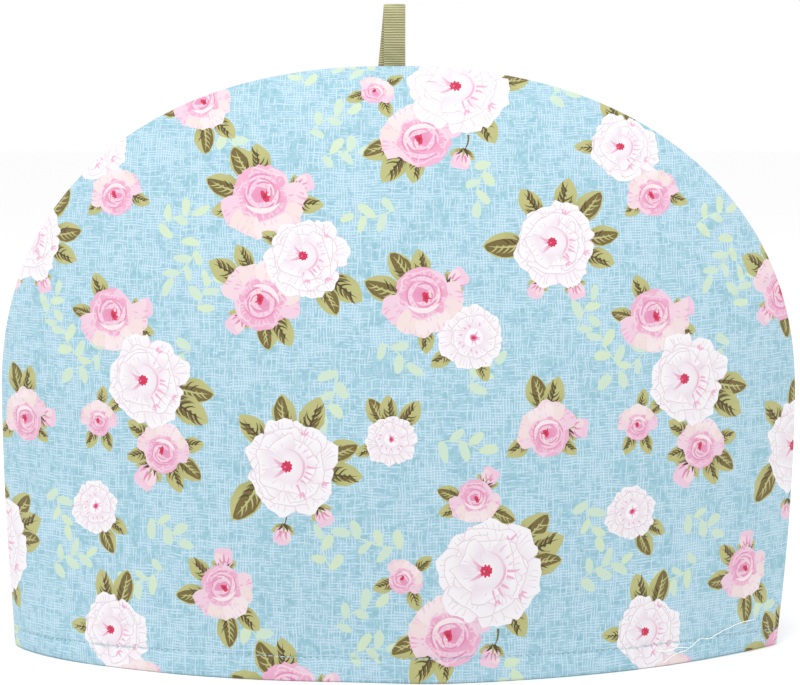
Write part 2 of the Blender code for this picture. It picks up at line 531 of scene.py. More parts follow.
@dataclass(frozen=True)
class Bloom:
    """A flower seen from above, with a row of values for each leaf or bud that is tucked behind it."""

    at: complex
    size: float
    turn: float = 0.0
    tucked: tuple[tuple, ...] = ()

    def draw(self, drawing: Drawing, dice: random.Random) -> None:
        """Print the flower on top of its leaves and buds.

        Args:
            drawing: where it is added.
            dice: the source of its unevenness.
        """
        for item in (Tucked(*row) for row in self.tucked):
            way = ray(item.bearing)
            if item.tone is None:
                Bud(self.at + way * (self.size * item.reach + item.size * 0.55), item.bearing + item.lean,
                    item.size).draw(drawing, dice)
            else:
                Leaf(self.at + way * self.size * item.reach, item.bearing + item.lean, item.size,
                     item.tone).draw(drawing, dice)
        self.draw_flower(drawing, dice)

    def draw_flower(self, drawing: Drawing, dice: random.Random) -> None:
        """Print the flower itself, which each kind of flower does its own way.

        Args:
            drawing: where it is added.
            dice: the source of its unevenness.
        """
        raise NotImplementedError

    def whorl(self, drawing: Drawing, dice: random.Random, centre: complex, reach: float, count: int,
              overlap: float, lined: bool, line: float) -> None:
        """Print a ring of ruffled white petals, with fine creases down each.

        Args:
            drawing: where it is added.
            dice: the source of its unevenness.
            centre: the middle of the ring.
            reach: how far the petals reach.
            count: how many petals it has.
            overlap: how wide a petal is beside its share of the ring.
            lined: whether the petals' edges are lined as well as their sides.
            line: the width of a line.
        """
        offset = dice.uniform(0, 360)
        for place in range(count):
            bearing = offset + 360 * (place + dice.uniform(-0.22, 0.22)) / count
            length = reach * dice.uniform(0.86, 1.06)
            width = 2 * math.pi * reach / count * overlap * dice.uniform(0.85, 1.2)
            ruffles = dice.getstate()
            edge = petal(centre, bearing, length + line * lined, width + 2 * line, dice, 0.05, 11, 0.75)
            drawing.fill(edge, Ink.VEIN)
            dice.setstate(ruffles)
            drawing.fade(petal(centre, bearing, length, width, dice, 0.05, 11, 0.75), Ink.SHADE, Ink.WHITE,
                         centre + ray(bearing) * length * 0.45, centre + ray(bearing) * length * 0.85)
            spread = math.degrees(width / length) * 0.6
            feathers(drawing, centre, length * 0.92, bearing, spread, 4, -length * 0.32, line,
                     Ink.VEIN, dice)


class Peony(Bloom):
    """A full white flower of overlapping petals, with a cupped one round its heart and rosy brush marks."""

    FINE = 0.32
    WHORLS = ((1.03, 8, 0.90, False), (0.78, 7, 1.30, True), (0.56, 5, 1.35, True))

    def draw_flower(self, drawing: Drawing, dice: random.Random) -> None:
        """Print the ragged white flower, its petals, its cup and its heart.

        Args:
            drawing: where it is added.
            dice: the source of its unevenness.
        """
        radius = self.size / 2
        turn = self.turn
        heart = self.at + ray(turn + 160) * radius * 0.10
        drawing.fill(blob(self.at, radius * 0.76, dice, 1.0, 0.0, 0.03, 16), Ink.WHITE)
        for reach, count, overlap, lined in self.WHORLS:
            centre = self.at + (heart - self.at) * (1.04 - reach) * 2
            self.whorl(drawing, dice, centre, radius * reach, count, overlap, lined, self.FINE)
        drawing.glow(blob(heart, radius * 0.36, dice, 0.85, turn, 0.09, 16), Ink.WHITE, Ink.SHADE, heart,
                     radius * 0.42)
        feathers(drawing, heart, radius * 0.15, turn + 165, 130, 7, radius * 0.24, self.FINE,
                 Ink.VEIN, dice)
        drawing.fill(crescent(heart, radius * 0.37, radius * 0.050, turn + 12, 165, 9), Ink.PALE_PINK)
        drawing.fill(crescent(heart, radius * 0.375, radius * 0.040, turn - 20, 90, 6), Ink.PINK)
        feathers(drawing, heart, radius * 0.40, turn - 34, 85, 5, radius * 0.24, radius * 0.055,
                 Ink.PINK, dice)
        feathers(drawing, heart, radius * 0.44, turn + 38, 50, 3, radius * 0.20, radius * 0.045,
                 Ink.PALE_PINK, dice)
        for lean, reach in ((-72, 0.50), (64, 0.68), (-30, 0.66)):
            spot = self.at + ray(turn + lean) * radius * reach
            feathers(drawing, spot, radius * 0.03, turn + lean, 110, 3, radius * 0.17, radius * 0.050,
                     Ink.PINK, dice)
        for lean, reach in ((146, 0.36), (170, 0.22), (214, 0.38)):
            tip = heart + ray(turn + lean) * radius * reach
            drawing.fade(stroke(heart, tip, radius * 0.09, 0.05, True), Ink.DEEP_PINK, Ink.PALE_PINK,
                         heart, tip)
        self.print_heart(drawing, dice, heart, radius * 0.125)

    def print_heart(self, drawing: Drawing, dice: random.Random, heart: complex, radius: float) -> None:
        """Print the crimson heart, a cluster of small dots.

        Args:
            drawing: where it is added.
            dice: the source of its unevenness.
            heart: its middle.
            radius: its radius.
        """
        drawing.fill(blob(heart, radius * 0.88, dice, 0.9, self.turn, 0.06, 10), Ink.CRIMSON)
        for step in range(9):
            seed = heart + ray(40 * step + 20) * radius * dice.uniform(0.74, 0.86)
            drawing.fill(blob(seed, radius * 0.20, dice, points=6), Ink.CRIMSON)
        for step in range(5):
            seed = heart + ray(72 * step + 50) * radius * dice.uniform(0.20, 0.60)
            drawing.fill(blob(seed, radius * 0.15, dice, points=5),
                         Ink.DEEP_PINK if step == 2 else Ink.DARK_CRIMSON)


class SmallWhite(Bloom):
    """A smaller white flower, with creases that fan out from a pink heart."""

    FINE = 0.32

    def draw_flower(self, drawing: Drawing, dice: random.Random) -> None:
        """Print the ragged flower, its creases, a ring of rosy dabs and its heart.

        Args:
            drawing: where it is added.
            dice: the source of its unevenness.
        """
        radius = self.size / 2
        heart = self.at + ray(self.turn) * radius * 0.08
        drawing.fill(blob(self.at, radius * 0.78, dice, 1.0, 0.0, 0.03, 16), Ink.WHITE)
        self.whorl(drawing, dice, self.at, radius * 1.03, 10, 1.05, False, self.FINE)
        self.whorl(drawing, dice, heart, radius * 0.66, 7, 1.3, True, self.FINE)
        drawing.fill(blob(heart, radius * 0.30, dice, 0.9, self.turn, 0.09, 12), Ink.WHITE)
        for step in range(8):
            bearing = self.turn + 60 + 30 * step + dice.uniform(-8, 8)
            dab = heart + ray(bearing) * radius * dice.uniform(0.34, 0.44)
            drawing.brush(dab, dab + ray(bearing + 20) * radius * 0.13, radius * 0.06, Ink.PINK)
        feathers(drawing, heart, radius * 0.08, self.turn - 40, 200, 5, radius * 0.20, radius * 0.05,
                 Ink.PINK, dice)
        drawing.fill(blob(heart, radius * 0.13, dice, 0.85, self.turn, 0.10, 9), Ink.DEEP_PINK)
        drawing.fill(blob(heart, radius * 0.075, dice, 0.85, self.turn, 0.10, 7), Ink.CRIMSON)


class Rose(Bloom):
    """A pink garden rose with a coiled cup and broad pale petals on the side that its turn points to."""

    BACK = ((150, Ink.PINK), (-148, Ink.PINK), (182, Ink.PINK), (118, Ink.PALE_PINK), (-112, Ink.PINK))
    PALE_SIDE = ((72, Ink.PALE_PINK, Ink.BLUSH), (-66, Ink.PALE_PINK, Ink.PALE_PINK),
                 (38, Ink.BLUSH, Ink.SHELL), (-30, Ink.SHELL, Ink.SHELL), (4, Ink.SHELL, Ink.CREAM))
    COIL = ((0.50, 165), (0.48, 50), (0.46, -75), (0.38, 215), (0.36, 112), (0.33, -10), (0.26, 165),
            (0.21, 60))
    RIMS = (Ink.PALE_PINK, Ink.BLUSH, Ink.PALE_PINK)

    def draw_flower(self, drawing: Drawing, dice: random.Random) -> None:
        """Print the outer petals, the cup, its folds and the heart.

        Args:
            drawing: where it is added.
            dice: the source of its unevenness.
        """
        radius = self.size / 2
        turn = self.turn
        pale = ray(turn)
        cup = self.at - pale * radius * 0.26 + ray(turn + 90) * radius * dice.uniform(-0.10, 0.10)
        for lean, ink in self.BACK:
            shape = petal(cup, turn + lean, radius * 0.80, radius * 0.90, dice, 0.06, 7, 0.8)
            drawing.fade(shape, Ink.DEEP_PINK, ink, cup, cup + ray(turn + lean) * radius * 0.55)
        for lean, near, far in self.PALE_SIDE:
            bearing = turn + lean + dice.uniform(-6, 6)
            length = radius * dice.uniform(1.12, 1.28)
            shape = petal(cup, bearing, length, radius * 1.05, dice, 0.05, 9)
            tip = cup + ray(bearing) * length
            drawing.fade(shape, near, far, cup, tip)
            edge = Ink.PINK if abs(lean) > 50 else Ink.PALE_PINK
            feathers(drawing, cup, length * 0.97, bearing, 34, 4, -radius * 0.24, radius * 0.065,
                     edge, dice)
            feathers(drawing, cup, length * 0.70, bearing, 30, 3, -radius * 0.20, radius * 0.05, edge, dice)
        drawing.fill(blob(cup, radius * 0.56, dice, 0.9, turn, 0.06, 16), Ink.PINK)
        rim = radius * 0.045
        offset = dice.uniform(0, 360)
        for place in range(6):
            bearing = offset + 60 * (place + dice.uniform(-0.25, 0.25))
            length = radius * 0.66 * dice.uniform(0.86, 1.06)
            width = radius * 0.69 * dice.uniform(1.15, 1.5)
            ruffles = dice.getstate()
            drawing.fill(petal(cup, bearing, length + rim, width + rim, dice, 0.07, 9, 0.8),
                         self.RIMS[place % 3])
            dice.setstate(ruffles)
            drawing.fade(petal(cup, bearing, length, width, dice, 0.07, 9, 0.8), Ink.DEEP_PINK, Ink.PINK,
                         cup, cup + ray(bearing) * length)
            feathers(drawing, cup, length * 0.96, bearing, 46, 4, -length * 0.30, radius * 0.05,
                     Ink.PALE_PINK, dice)
        for number, (share, bearing) in enumerate(self.COIL):
            middle = turn + bearing + dice.uniform(-14, 14)
            curl = radius * share * dice.uniform(0.92, 1.05)
            centre = cup + ray(dice.uniform(0, 360)) * radius * 0.05
            drawing.fill(crescent(centre, curl + radius * 0.05, radius * 0.08, middle + 15, 85, 7),
                         Ink.DEEP_PINK)
            drawing.fill(crescent(centre, curl, radius * 0.14, middle, 118, 8), self.RIMS[number % 3])
            feathers(drawing, centre, curl - radius * 0.03, middle, 80, 3, -radius * 0.13, radius * 0.04,
                     Ink.PINK, dice)
        drawing.fill(crescent(cup, radius * 0.54, radius * 0.15, turn - 8, 125, 9), Ink.CREAM)
        feathers(drawing, cup, radius * 0.66, turn + 150, 330, 13, -radius * 0.16, radius * 0.045,
                 Ink.PALE_PINK, dice)
        heart = cup + pale * radius * 0.08 + ray(turn + 90) * radius * 0.06
        drawing.fill(blob(heart, radius * 0.17, dice, 0.52, turn + 15, 0.14, 12), Ink.CRIMSON)
        feathers(drawing, heart, radius * 0.05, turn + 60, 240, 3, radius * 0.15, radius * 0.08,
                 Ink.CRIMSON, dice)
        drawing.fill(blob(heart, radius * 0.07, dice, 0.6, turn, 0.1, 6), Ink.DARK_CRIMSON)


DARK = LeafTone.DARK
LIGHT = LeafTone.LIGHT


class RosePrint:
    """The repeat of the printed cloth, in millimetres, and where each repeat falls."""

    ACROSS = 217 + 0j
    UP = -11 + 194j
    SEED = 7
    MARGIN = 12.0

    SPRAYS = (
        Spray(-118 + 128j, 215, 20, 5),
        Spray(-24 + 122j, 255, 20, 5),
        Spray(-8 + 131j, 320, 15, 4),
        Spray(0 + 184j, 190, 18, 5),
        Spray(38 + 204j, 250, 20, 5, -0.15),
        Spray(-78 + 172j, 235, 22, 6),
        Spray(-80 + 128j, 195, 18, 5),
        Spray(88 + 120j, 120, 19, 5),
        Spray(70 + 133j, 65, 15, 4),
        Spray(138 + 140j, 60, 20, 6),
        Spray(4 + 52j, 165, 24, 6, 0.08),
        Spray(-24 + 42j, 110, 15, 4),
        Spray(70 + 36j, 20, 21, 6),
        Spray(74 + 70j, 285, 17, 5, -0.1),
        Spray(-60 + 22j, 300, 18, 5),
        Spray(-92 + 42j, 200, 22, 6),
        Spray(14 + 92j, 350, 18, 5),
        Spray(26 + 112j, 40, 16, 5),
        Spray(116 + 60j, 330, 17, 5),
        Spray(-20 + 10j, 10, 16, 5),
        Spray(120 + 174j, 20, 18, 5),
        Spray(-36 + 214j, 30, 20, 5),
    )

    BLOOMS = (
        Rose(113.5 - 4j, 20, 100, ((-20, 9), (220, 9))),
        Peony(101.5 + 14.5j, 30, 0, ((75, 15, DARK), (104, 14), (178, 10, LIGHT))),
        Rose(101.6 + 136.4j, 25, -75, ((112, 12), (165, 10, DARK), (22, 9, None), (-12, 10))),
        SmallWhite(92.5 + 62.4j, 22, 40, ((-62, 12, DARK), (-30, 10))),
        Rose(123.9 + 88.4j, 20, 75, ((200, 10), (238, 11, None), (-68, 12), (-38, 13, DARK), (5, 10),
            (150, 11))),
        Peony(116.8 + 113.3j, 36, 5, ((-8, 16, DARK), (-30, 17), (215, 9))),
        Rose(95.4 + 98.0j, 14, 85, ((245, 9), (290, 9), (80, 8, LIGHT))),
        Rose(-51.5 + 185.5j, 30, -80, ((158, 16, DARK), (120, 17, DARK), (100, 15), (28, 9, None),
            (-2, 12), (190, 12, LIGHT))),
        Rose(-53 + 149.4j, 27, 65, ((118, 12), (150, 15), (-82, 13, DARK), (-60, 14), (230, 9, None))),
        Peony(-35.5 + 163.4j, 32, -15, ((-38, 16), (-62, 14, DARK), (150, 9))),
        Rose(10.7 + 145.8j, 27, -80, ((160, 16, DARK), (125, 15, DARK), (98, 12), (38, 9, None),
            (270, 10))),
        SmallWhite(27.9 + 132.1j, 25, 10, ((215, 10), (-70, 9, LIGHT))),
        Peony(-41 + 82.1j, 38, 5, ((98, 15, DARK), (68, 16), (136, 15), (20, 14, DARK), (-6, 14),
            (204, 19, DARK, 30), (262, 8, None, 0, 0.55), (304, 8, None, 0, 0.45))),
        Peony(61.6 + 169.1j, 34, 10, ((78, 15), (48, 16, DARK), (122, 14), (8, 14, DARK), (-20, 13),
            (182, 17, DARK), (246, 7.5, None, 0, 0.45), (292, 8, None, 0, 0.45))),
        Rose(56.9 + 97.0j, 21, 110, ((104, 14, DARK), (75, 13), (215, 11), (-2, 9, None), (-40, 9))),
        Rose(149.5 + 33j, 21, -65, ((185, 13, DARK), (140, 12), (-45, 12), (-85, 14, DARK),
            (92, 9, None))),
        Rose(29.7 + 69j, 17, -90, ((160, 10, DARK), (195, 9), (-25, 11, DARK), (-55, 12), (62, 8, None))),
        Rose(3 + 40.8j, 13, 45, ((200, 9), (-70, 9, LIGHT), (40, 8))),
        Rose(19.6 + 21.6j, 28, 110, ((205, 15, DARK), (235, 16), (262, 12))),
        Peony(35.5 + 42.2j, 41, -5, ((44, 17, DARK), (24, 17), (8, 14, DARK), (-62, 14))),
        SmallWhite(-2.7 + 92.8j, 19, 90, ((118, 12, DARK), (95, 11), (55, 12), (200, 8))),
    )
    LONE_BUD = Bud(35.6 + 10.5j, 255, 9.0)

    def __init__(self) -> None:
        """Draw one repeat."""
        self.layers: list[list[Patch]] = []
        for motifs in (self.SPRAYS, (self.LONE_BUD, *self.BLOOMS)):
            drawing = Drawing()
            for number, motif in enumerate(motifs):
                motif.draw(drawing, random.Random(self.SEED + number))
            self.layers.append(drawing.patches)

    def over(self, low: complex, high: complex, shift: complex) -> list[Patch]:
        """Return the patches that reach a rectangle of cloth.

        Args:
            low: the lowest corner of the rectangle.
            high: its highest corner.
            shift: how far the print is moved on this piece of cloth.

        Returns:
            The patches of all the repeats there, in printing order.
        """
        found = []
        repeats = [shift + self.ACROSS * column + self.UP * row for row in range(-2, 3)
                   for column in range(-3, 4)]
        for layer in self.layers:
            for by in repeats:
                for patch in layer:
                    middle = patch.outline[0] + by
                    inside_x = low.real - self.MARGIN < middle.real < high.real + self.MARGIN
                    inside_y = low.imag - self.MARGIN < middle.imag < high.imag + self.MARGIN
                    if inside_x and inside_y:
                        found.append(patch.moved(by))
        return found


@dataclass(frozen=True)
class Fullness:
    """How quickly a panel turns back to its side seams, as the part's own panels do."""

    left: float
    right: float
    left_at_hem: float
    right_at_hem: float


@dataclass(frozen=True)
class CosyForm:
    """The form of the standing cosy, from the same sizes as its solids, in metres."""

    half_width: float = 0.160
    widest_height: float = 0.102
    height: float = 0.2346
    dome_fullness: float = 2.22
    left_draw: float = 0.0040
    right_draw: float = 0.0060
    lean: float = 0.0022
    depth: float = 0.066
    rise_power: float = 2.0
    crown_power: float = 0.71
    evening_height: float = 0.080
    ripple_depth: float = 0.0009
    ripples_across: float = 2.5
    ripples_up: float = 1.5
    crease_height: float = 0.208
    crease_depth: float = 0.0012
    crease_half_height: float = 0.006
    crease_x: float = -0.006
    crease_half_length: float = 0.050

    def seam_x(self, side: int, z: Array, inset: float = 0.0) -> Array:
        """Return where a side seam is.

        Args:
            side: -1 for the left seam and 1 for the right one.
            z: heights above the ground.
            inset: how far inside the outline.

        Returns:
            The seam's x at each height.
        """
        climb = np.clip((z - self.widest_height) / (self.height - inset - self.widest_height), 0, 1)
        reach = (self.half_width - inset) * (1 - climb**self.dome_fullness) ** (1 / self.dome_fullness)
        drop = np.clip(1 - z / self.widest_height, 0, None)
        draw = self.left_draw if side < 0 else self.right_draw
        low = side * (self.half_width - inset - draw * drop**2)
        return np.where(z >= self.widest_height, side * reach - self.lean * climb**2, low)

    def middle_and_half(self, z: Array, inset: float = 0.0) -> tuple[Array, Array]:
        """Return the middle between the seams and the half width there."""
        left = self.seam_x(-1, z, inset)
        right = self.seam_x(1, z, inset)
        return (left + right) / 2, np.maximum((right - left) / 2, 1e-6)

    def stands_out(self, x: Array, z: Array, fullness: Fullness, inset: float = 0.0,
                   wall: float = 0.0) -> Array:
        """Return how far a panel stands out from the plane of the seam.

        Args:
            x: places across.
            z: places up.
            fullness: the panel's fullness.
            inset: how far inside the outline the surface ends.
            wall: how far inside the outer surface it is in the middle.

        Returns:
            The distance from the plane of the seam at each place.
        """
        middle, half = self.middle_and_half(z, inset)
        across = np.clip((x - middle) / half, -1, 1)
        climb = np.clip(z / (self.height - inset), 0, 1)
        raised = np.clip(z / self.evening_height, 0, 1)
        left = fullness.left_at_hem + (fullness.left - fullness.left_at_hem) * raised
        right = fullness.right_at_hem + (fullness.right - fullness.right_at_hem) * raised
        bow = (1 - across**2) ** ((left + right) / 2 + (right - left) / 2 * across)
        rise = (1 - climb**self.rise_power) ** self.crown_power
        ripple = np.sin(self.ripples_across * np.pi * across) * np.cos(self.ripples_up * np.pi * climb)
        along = np.clip(np.abs(x - self.crease_x) / self.crease_half_length, 0, 1)
        crease = np.exp(-(((z - self.crease_height) / self.crease_half_height) ** 2)) * (1 - along**2) ** 2
        uneven = self.ripple_depth * ripple * (1 - climb) - self.crease_depth * crease
        soft = uneven * bow * (1 - climb**8)
        return (self.depth - wall) * rise * bow + soft


class ClothMap:
    """Where each place of the flat cloth of a panel lies on the standing cosy."""

    ROWS = 320
    COLUMNS = 241

    def __init__(self, form: CosyForm, fullness: Fullness) -> None:
        """Measure the panel along its rows and up its middle.

        Args:
            form: the form of the cosy.
            fullness: the panel's fullness.
        """
        self.form = form
        self.fullness = fullness
        share = np.linspace(0, 1, self.ROWS)
        self.z = form.height * (1 - (1 - share) ** 1.8)
        turn = np.linspace(-np.pi / 2, np.pi / 2, self.COLUMNS)
        middle, half = form.middle_and_half(self.z)
        self.x = middle[:, None] + half[:, None] * np.sin(turn)[None, :]
        out = form.stands_out(self.x, self.z[:, None] + 0 * self.x, fullness)
        run = np.hypot(np.diff(self.x, axis=1), np.diff(out, axis=1))
        self.s = np.concatenate([np.zeros((self.ROWS, 1)), np.cumsum(run, axis=1)], axis=1)
        for row in range(self.ROWS):
            self.s[row] -= np.interp(0.0, self.x[row], self.s[row])
        up = form.stands_out(np.zeros(self.ROWS), self.z, fullness)
        self.t = np.concatenate([[0.0], np.cumsum(np.hypot(np.diff(self.z), np.diff(up)))])

    def place(self, s: Array, t: Array) -> tuple[Array, Array]:
        """Return x and z of places on the flat cloth.

        Args:
            s: places across the cloth, from its middle.
            t: places up the cloth, from the hem.

        Returns:
            The x and z of each place on the standing cosy.
        """
        z = np.interp(t, self.t, self.z)
        at = np.clip(np.interp(z, self.z, np.arange(self.ROWS)), 0, self.ROWS - 1.000001)
        row = at.astype(int)
        part = at - row
        x = np.empty_like(z)
        for i, (j, f) in enumerate(zip(row, part)):
            low = np.interp(s[i], self.s[j], self.x[j])
            high = np.interp(s[i], self.s[j + 1], self.x[j + 1])
            x[i] = low * (1 - f) + high * f
        middle, half = self.form.middle_and_half(z)
        return np.clip(x, middle - half, middle + half), z

    def seam(self, side: int, z: Array) -> tuple[Array, Array]:
        """Return the flat cloth's edge along one side seam.

        Args:
            side: -1 for the left seam and 1 for the right one.
            z: heights on the standing cosy.

        Returns:
            The places across and up the flat cloth.
        """
        edge = self.s[:, 0] if side < 0 else self.s[:, -1]
        return np.interp(z, self.z, edge), np.interp(z, self.z, self.t)


@dataclass(frozen=True)
class Sewing:
    """Sizes of the seam and the hem, in metres."""

    hem_radius: float = 0.00095
    hem_line: float = 0.0096
    hem_line_drop: float = 0.0026
    groove_depth: float = 0.00035
    groove_half: float = 0.0007
    pucker_depth: float = 0.00012
    pucker_pitch: float = 0.0047
    seam_roll: float = 0.0009
    seam_roll_reach: float = 0.006
    seam_pucker_depth: float = 0.00022
    seam_pucker_reach: float = 0.009
    seam_pucker_pitch: float = 0.0085
    seam_gap: float = 0.00015
    seam_inset: float = 0.0035
    wall: float = 0.0012
    hem_wall: float = 0.0007
    turn_up: float = 0.0112
    loop_x: float = -0.0015
    loop_parting: float = 0.0012
    loop_parting_half: float = 0.0085

    def line_height(self, s: Array) -> Array:
        """Return how far up the flat cloth the hem's stitches run, which is less towards the corners."""
        towards = np.clip(np.abs(s) / 0.175, 0, 1)
        wander = 0.00022 * np.sin(s * 61) + 0.00012 * np.sin(s * 233 + 1.3)
        return self.hem_line - self.hem_line_drop * towards**3 + wander


class PanelSurface:
    """The outer and inner surfaces of one panel, with its seam and hem."""

    SLOPE_STEP = 0.0004

    def __init__(self, form: CosyForm, sewing: Sewing, fullness: Fullness, side: int) -> None:
        """Hold what shapes the panel.

        Args:
            form: the form of the cosy.
            sewing: the sizes of its seam and hem.
            fullness: the panel's fullness.
            side: -1 for the front panel and 1 for the back one.
        """
        self.form = form
        self.sewing = sewing
        self.side = side
        self.fullness = fullness
        self.map = ClothMap(form, fullness)

    def cloth_sign(self) -> int:
        """Return 1 if the cloth's across runs along +X, and -1 on the back, which is seen from behind."""
        return -self.side

    def place(self, s: Array, t: Array) -> tuple[Array, Array]:
        """Return x and z of places on the flat cloth as this panel's wearer sees it."""
        return self.map.place(s * self.cloth_sign(), t)

    def edges_at(self, t: float) -> tuple[float, float]:
        """Return where the cloth starts and ends across, at a place up it."""
        ends = [float(np.interp(t, self.map.t, self.map.s[:, i])) * self.cloth_sign() for i in (0, -1)]
        return min(ends), max(ends)

    def parting(self, x: Array, z: Array) -> Array:
        """Return how far the seam opens at the crown to let the ribbon through."""
        near = np.clip(1 - ((x - self.sewing.loop_x) / self.sewing.loop_parting_half) ** 2, 0, 1)
        high = np.clip(1 - (self.form.height - z) / 0.008, 0, 1)
        return self.sewing.loop_parting * near**1.2 * high

    def relief(self, s: Array, t: Array, x: Array, z: Array, out: Array) -> Array:
        """Return the small rises and dips of the cloth at the hem and the seam, along its normal.

        Args:
            s: places across the flat cloth.
            t: places up the flat cloth.
            x: the same places across the standing cosy.
            z: the same places up it.
            out: how far they stand out from the plane of the seam.

        Returns:
            The rise at each place in metres.
        """
        sewing = self.sewing
        line = sewing.line_height(s)
        beat = np.sin(2 * np.pi * s / sewing.pucker_pitch + 1.7 * np.sin(s * 47))
        near_line = np.exp(-(((t - line) / (5 * sewing.groove_half)) ** 2))
        groove = -sewing.groove_depth * np.exp(-(((t - line) / sewing.groove_half) ** 2))
        puckers = sewing.pucker_depth * beat * near_line
        doubled = 0.00020 * soft_step(line - t, 0.0006)
        round_seam = np.arctan2(z - self.form.widest_height, x)
        wave = np.sin(2 * np.pi * round_seam * 0.19 / sewing.seam_pucker_pitch
                      + 2.3 * np.sin(round_seam * 9))
        into = out / sewing.seam_pucker_reach
        seam = sewing.seam_pucker_depth * wave * into * np.exp(1 - into) * np.clip((z - 0.02) / 0.05, 0, 1)
        soft = 0.00025 * np.sin(s * 71 + 1.1 * np.sin(t * 39)) * np.cos(t * 53 + 0.8 * np.sin(s * 29))
        low = np.clip(1 - t / 0.03, 0, 1)
        sway = 0.00035 * low * np.sin(s * 88 + 0.9 * np.sin(s * 31))
        return groove + puckers + doubled + seam + (soft + sway) * np.clip(out / 0.02, 0, 1)

    def outer(self, s: Array, t: Array) -> Array:
        """Return the outer surface.

        Args:
            s: places across the flat cloth.
            t: places up the flat cloth.

        Returns:
            One row of x, y and z for each place.
        """
        x, z = self.place(s, t)
        step = self.SLOPE_STEP
        out = self.form.stands_out(x, z, self.fullness)
        slope_x = (self.form.stands_out(x + step, z, self.fullness) - out) / step
        slope_z = (self.form.stands_out(x, z + step, self.fullness) - out) / step
        size = np.sqrt(1 + slope_x**2 + slope_z**2)
        rise = self.relief(s, t, x, z, out)
        roll = self.sewing.seam_roll * np.exp(-out / self.sewing.seam_roll_reach) + self.parting(x, z)
        return np.stack([x - slope_x / size * rise, self.side * (out + roll + rise / size),
                         z - np.clip(slope_z / size, -1, 1) * rise * np.clip(t / 0.01, 0, 1)], axis=1)

    def inner(self, s: Array, t: Array) -> Array:
        """Return the inner surface, whose seam and hem lie inside the outer one's.

        Args:
            s: places across the flat cloth.
            t: places up the flat cloth.

        Returns:
            One row of x, y and z for each place.
        """
        x, z = self.place(s, t)
        sewing = self.sewing
        middle, half = self.form.middle_and_half(z)
        across = np.clip((x - middle) / half, -1, 1)
        foot = sewing.hem_radius
        low = foot + (z - foot) * (self.form.height - sewing.seam_inset - foot) / (self.form.height - foot)
        middle, half = self.form.middle_and_half(low, sewing.seam_inset)
        x = middle + across * half
        out = self.form.stands_out(x, low, self.fullness, sewing.seam_inset, sewing.wall)
        thicker = sewing.hem_wall * soft_step(sewing.turn_up - t, 0.00025)
        out = np.maximum(out - thicker, 0)
        y = self.side * (out + sewing.seam_gap + self.parting(x, low + sewing.seam_inset))
        return np.stack([x, y, low], axis=1)


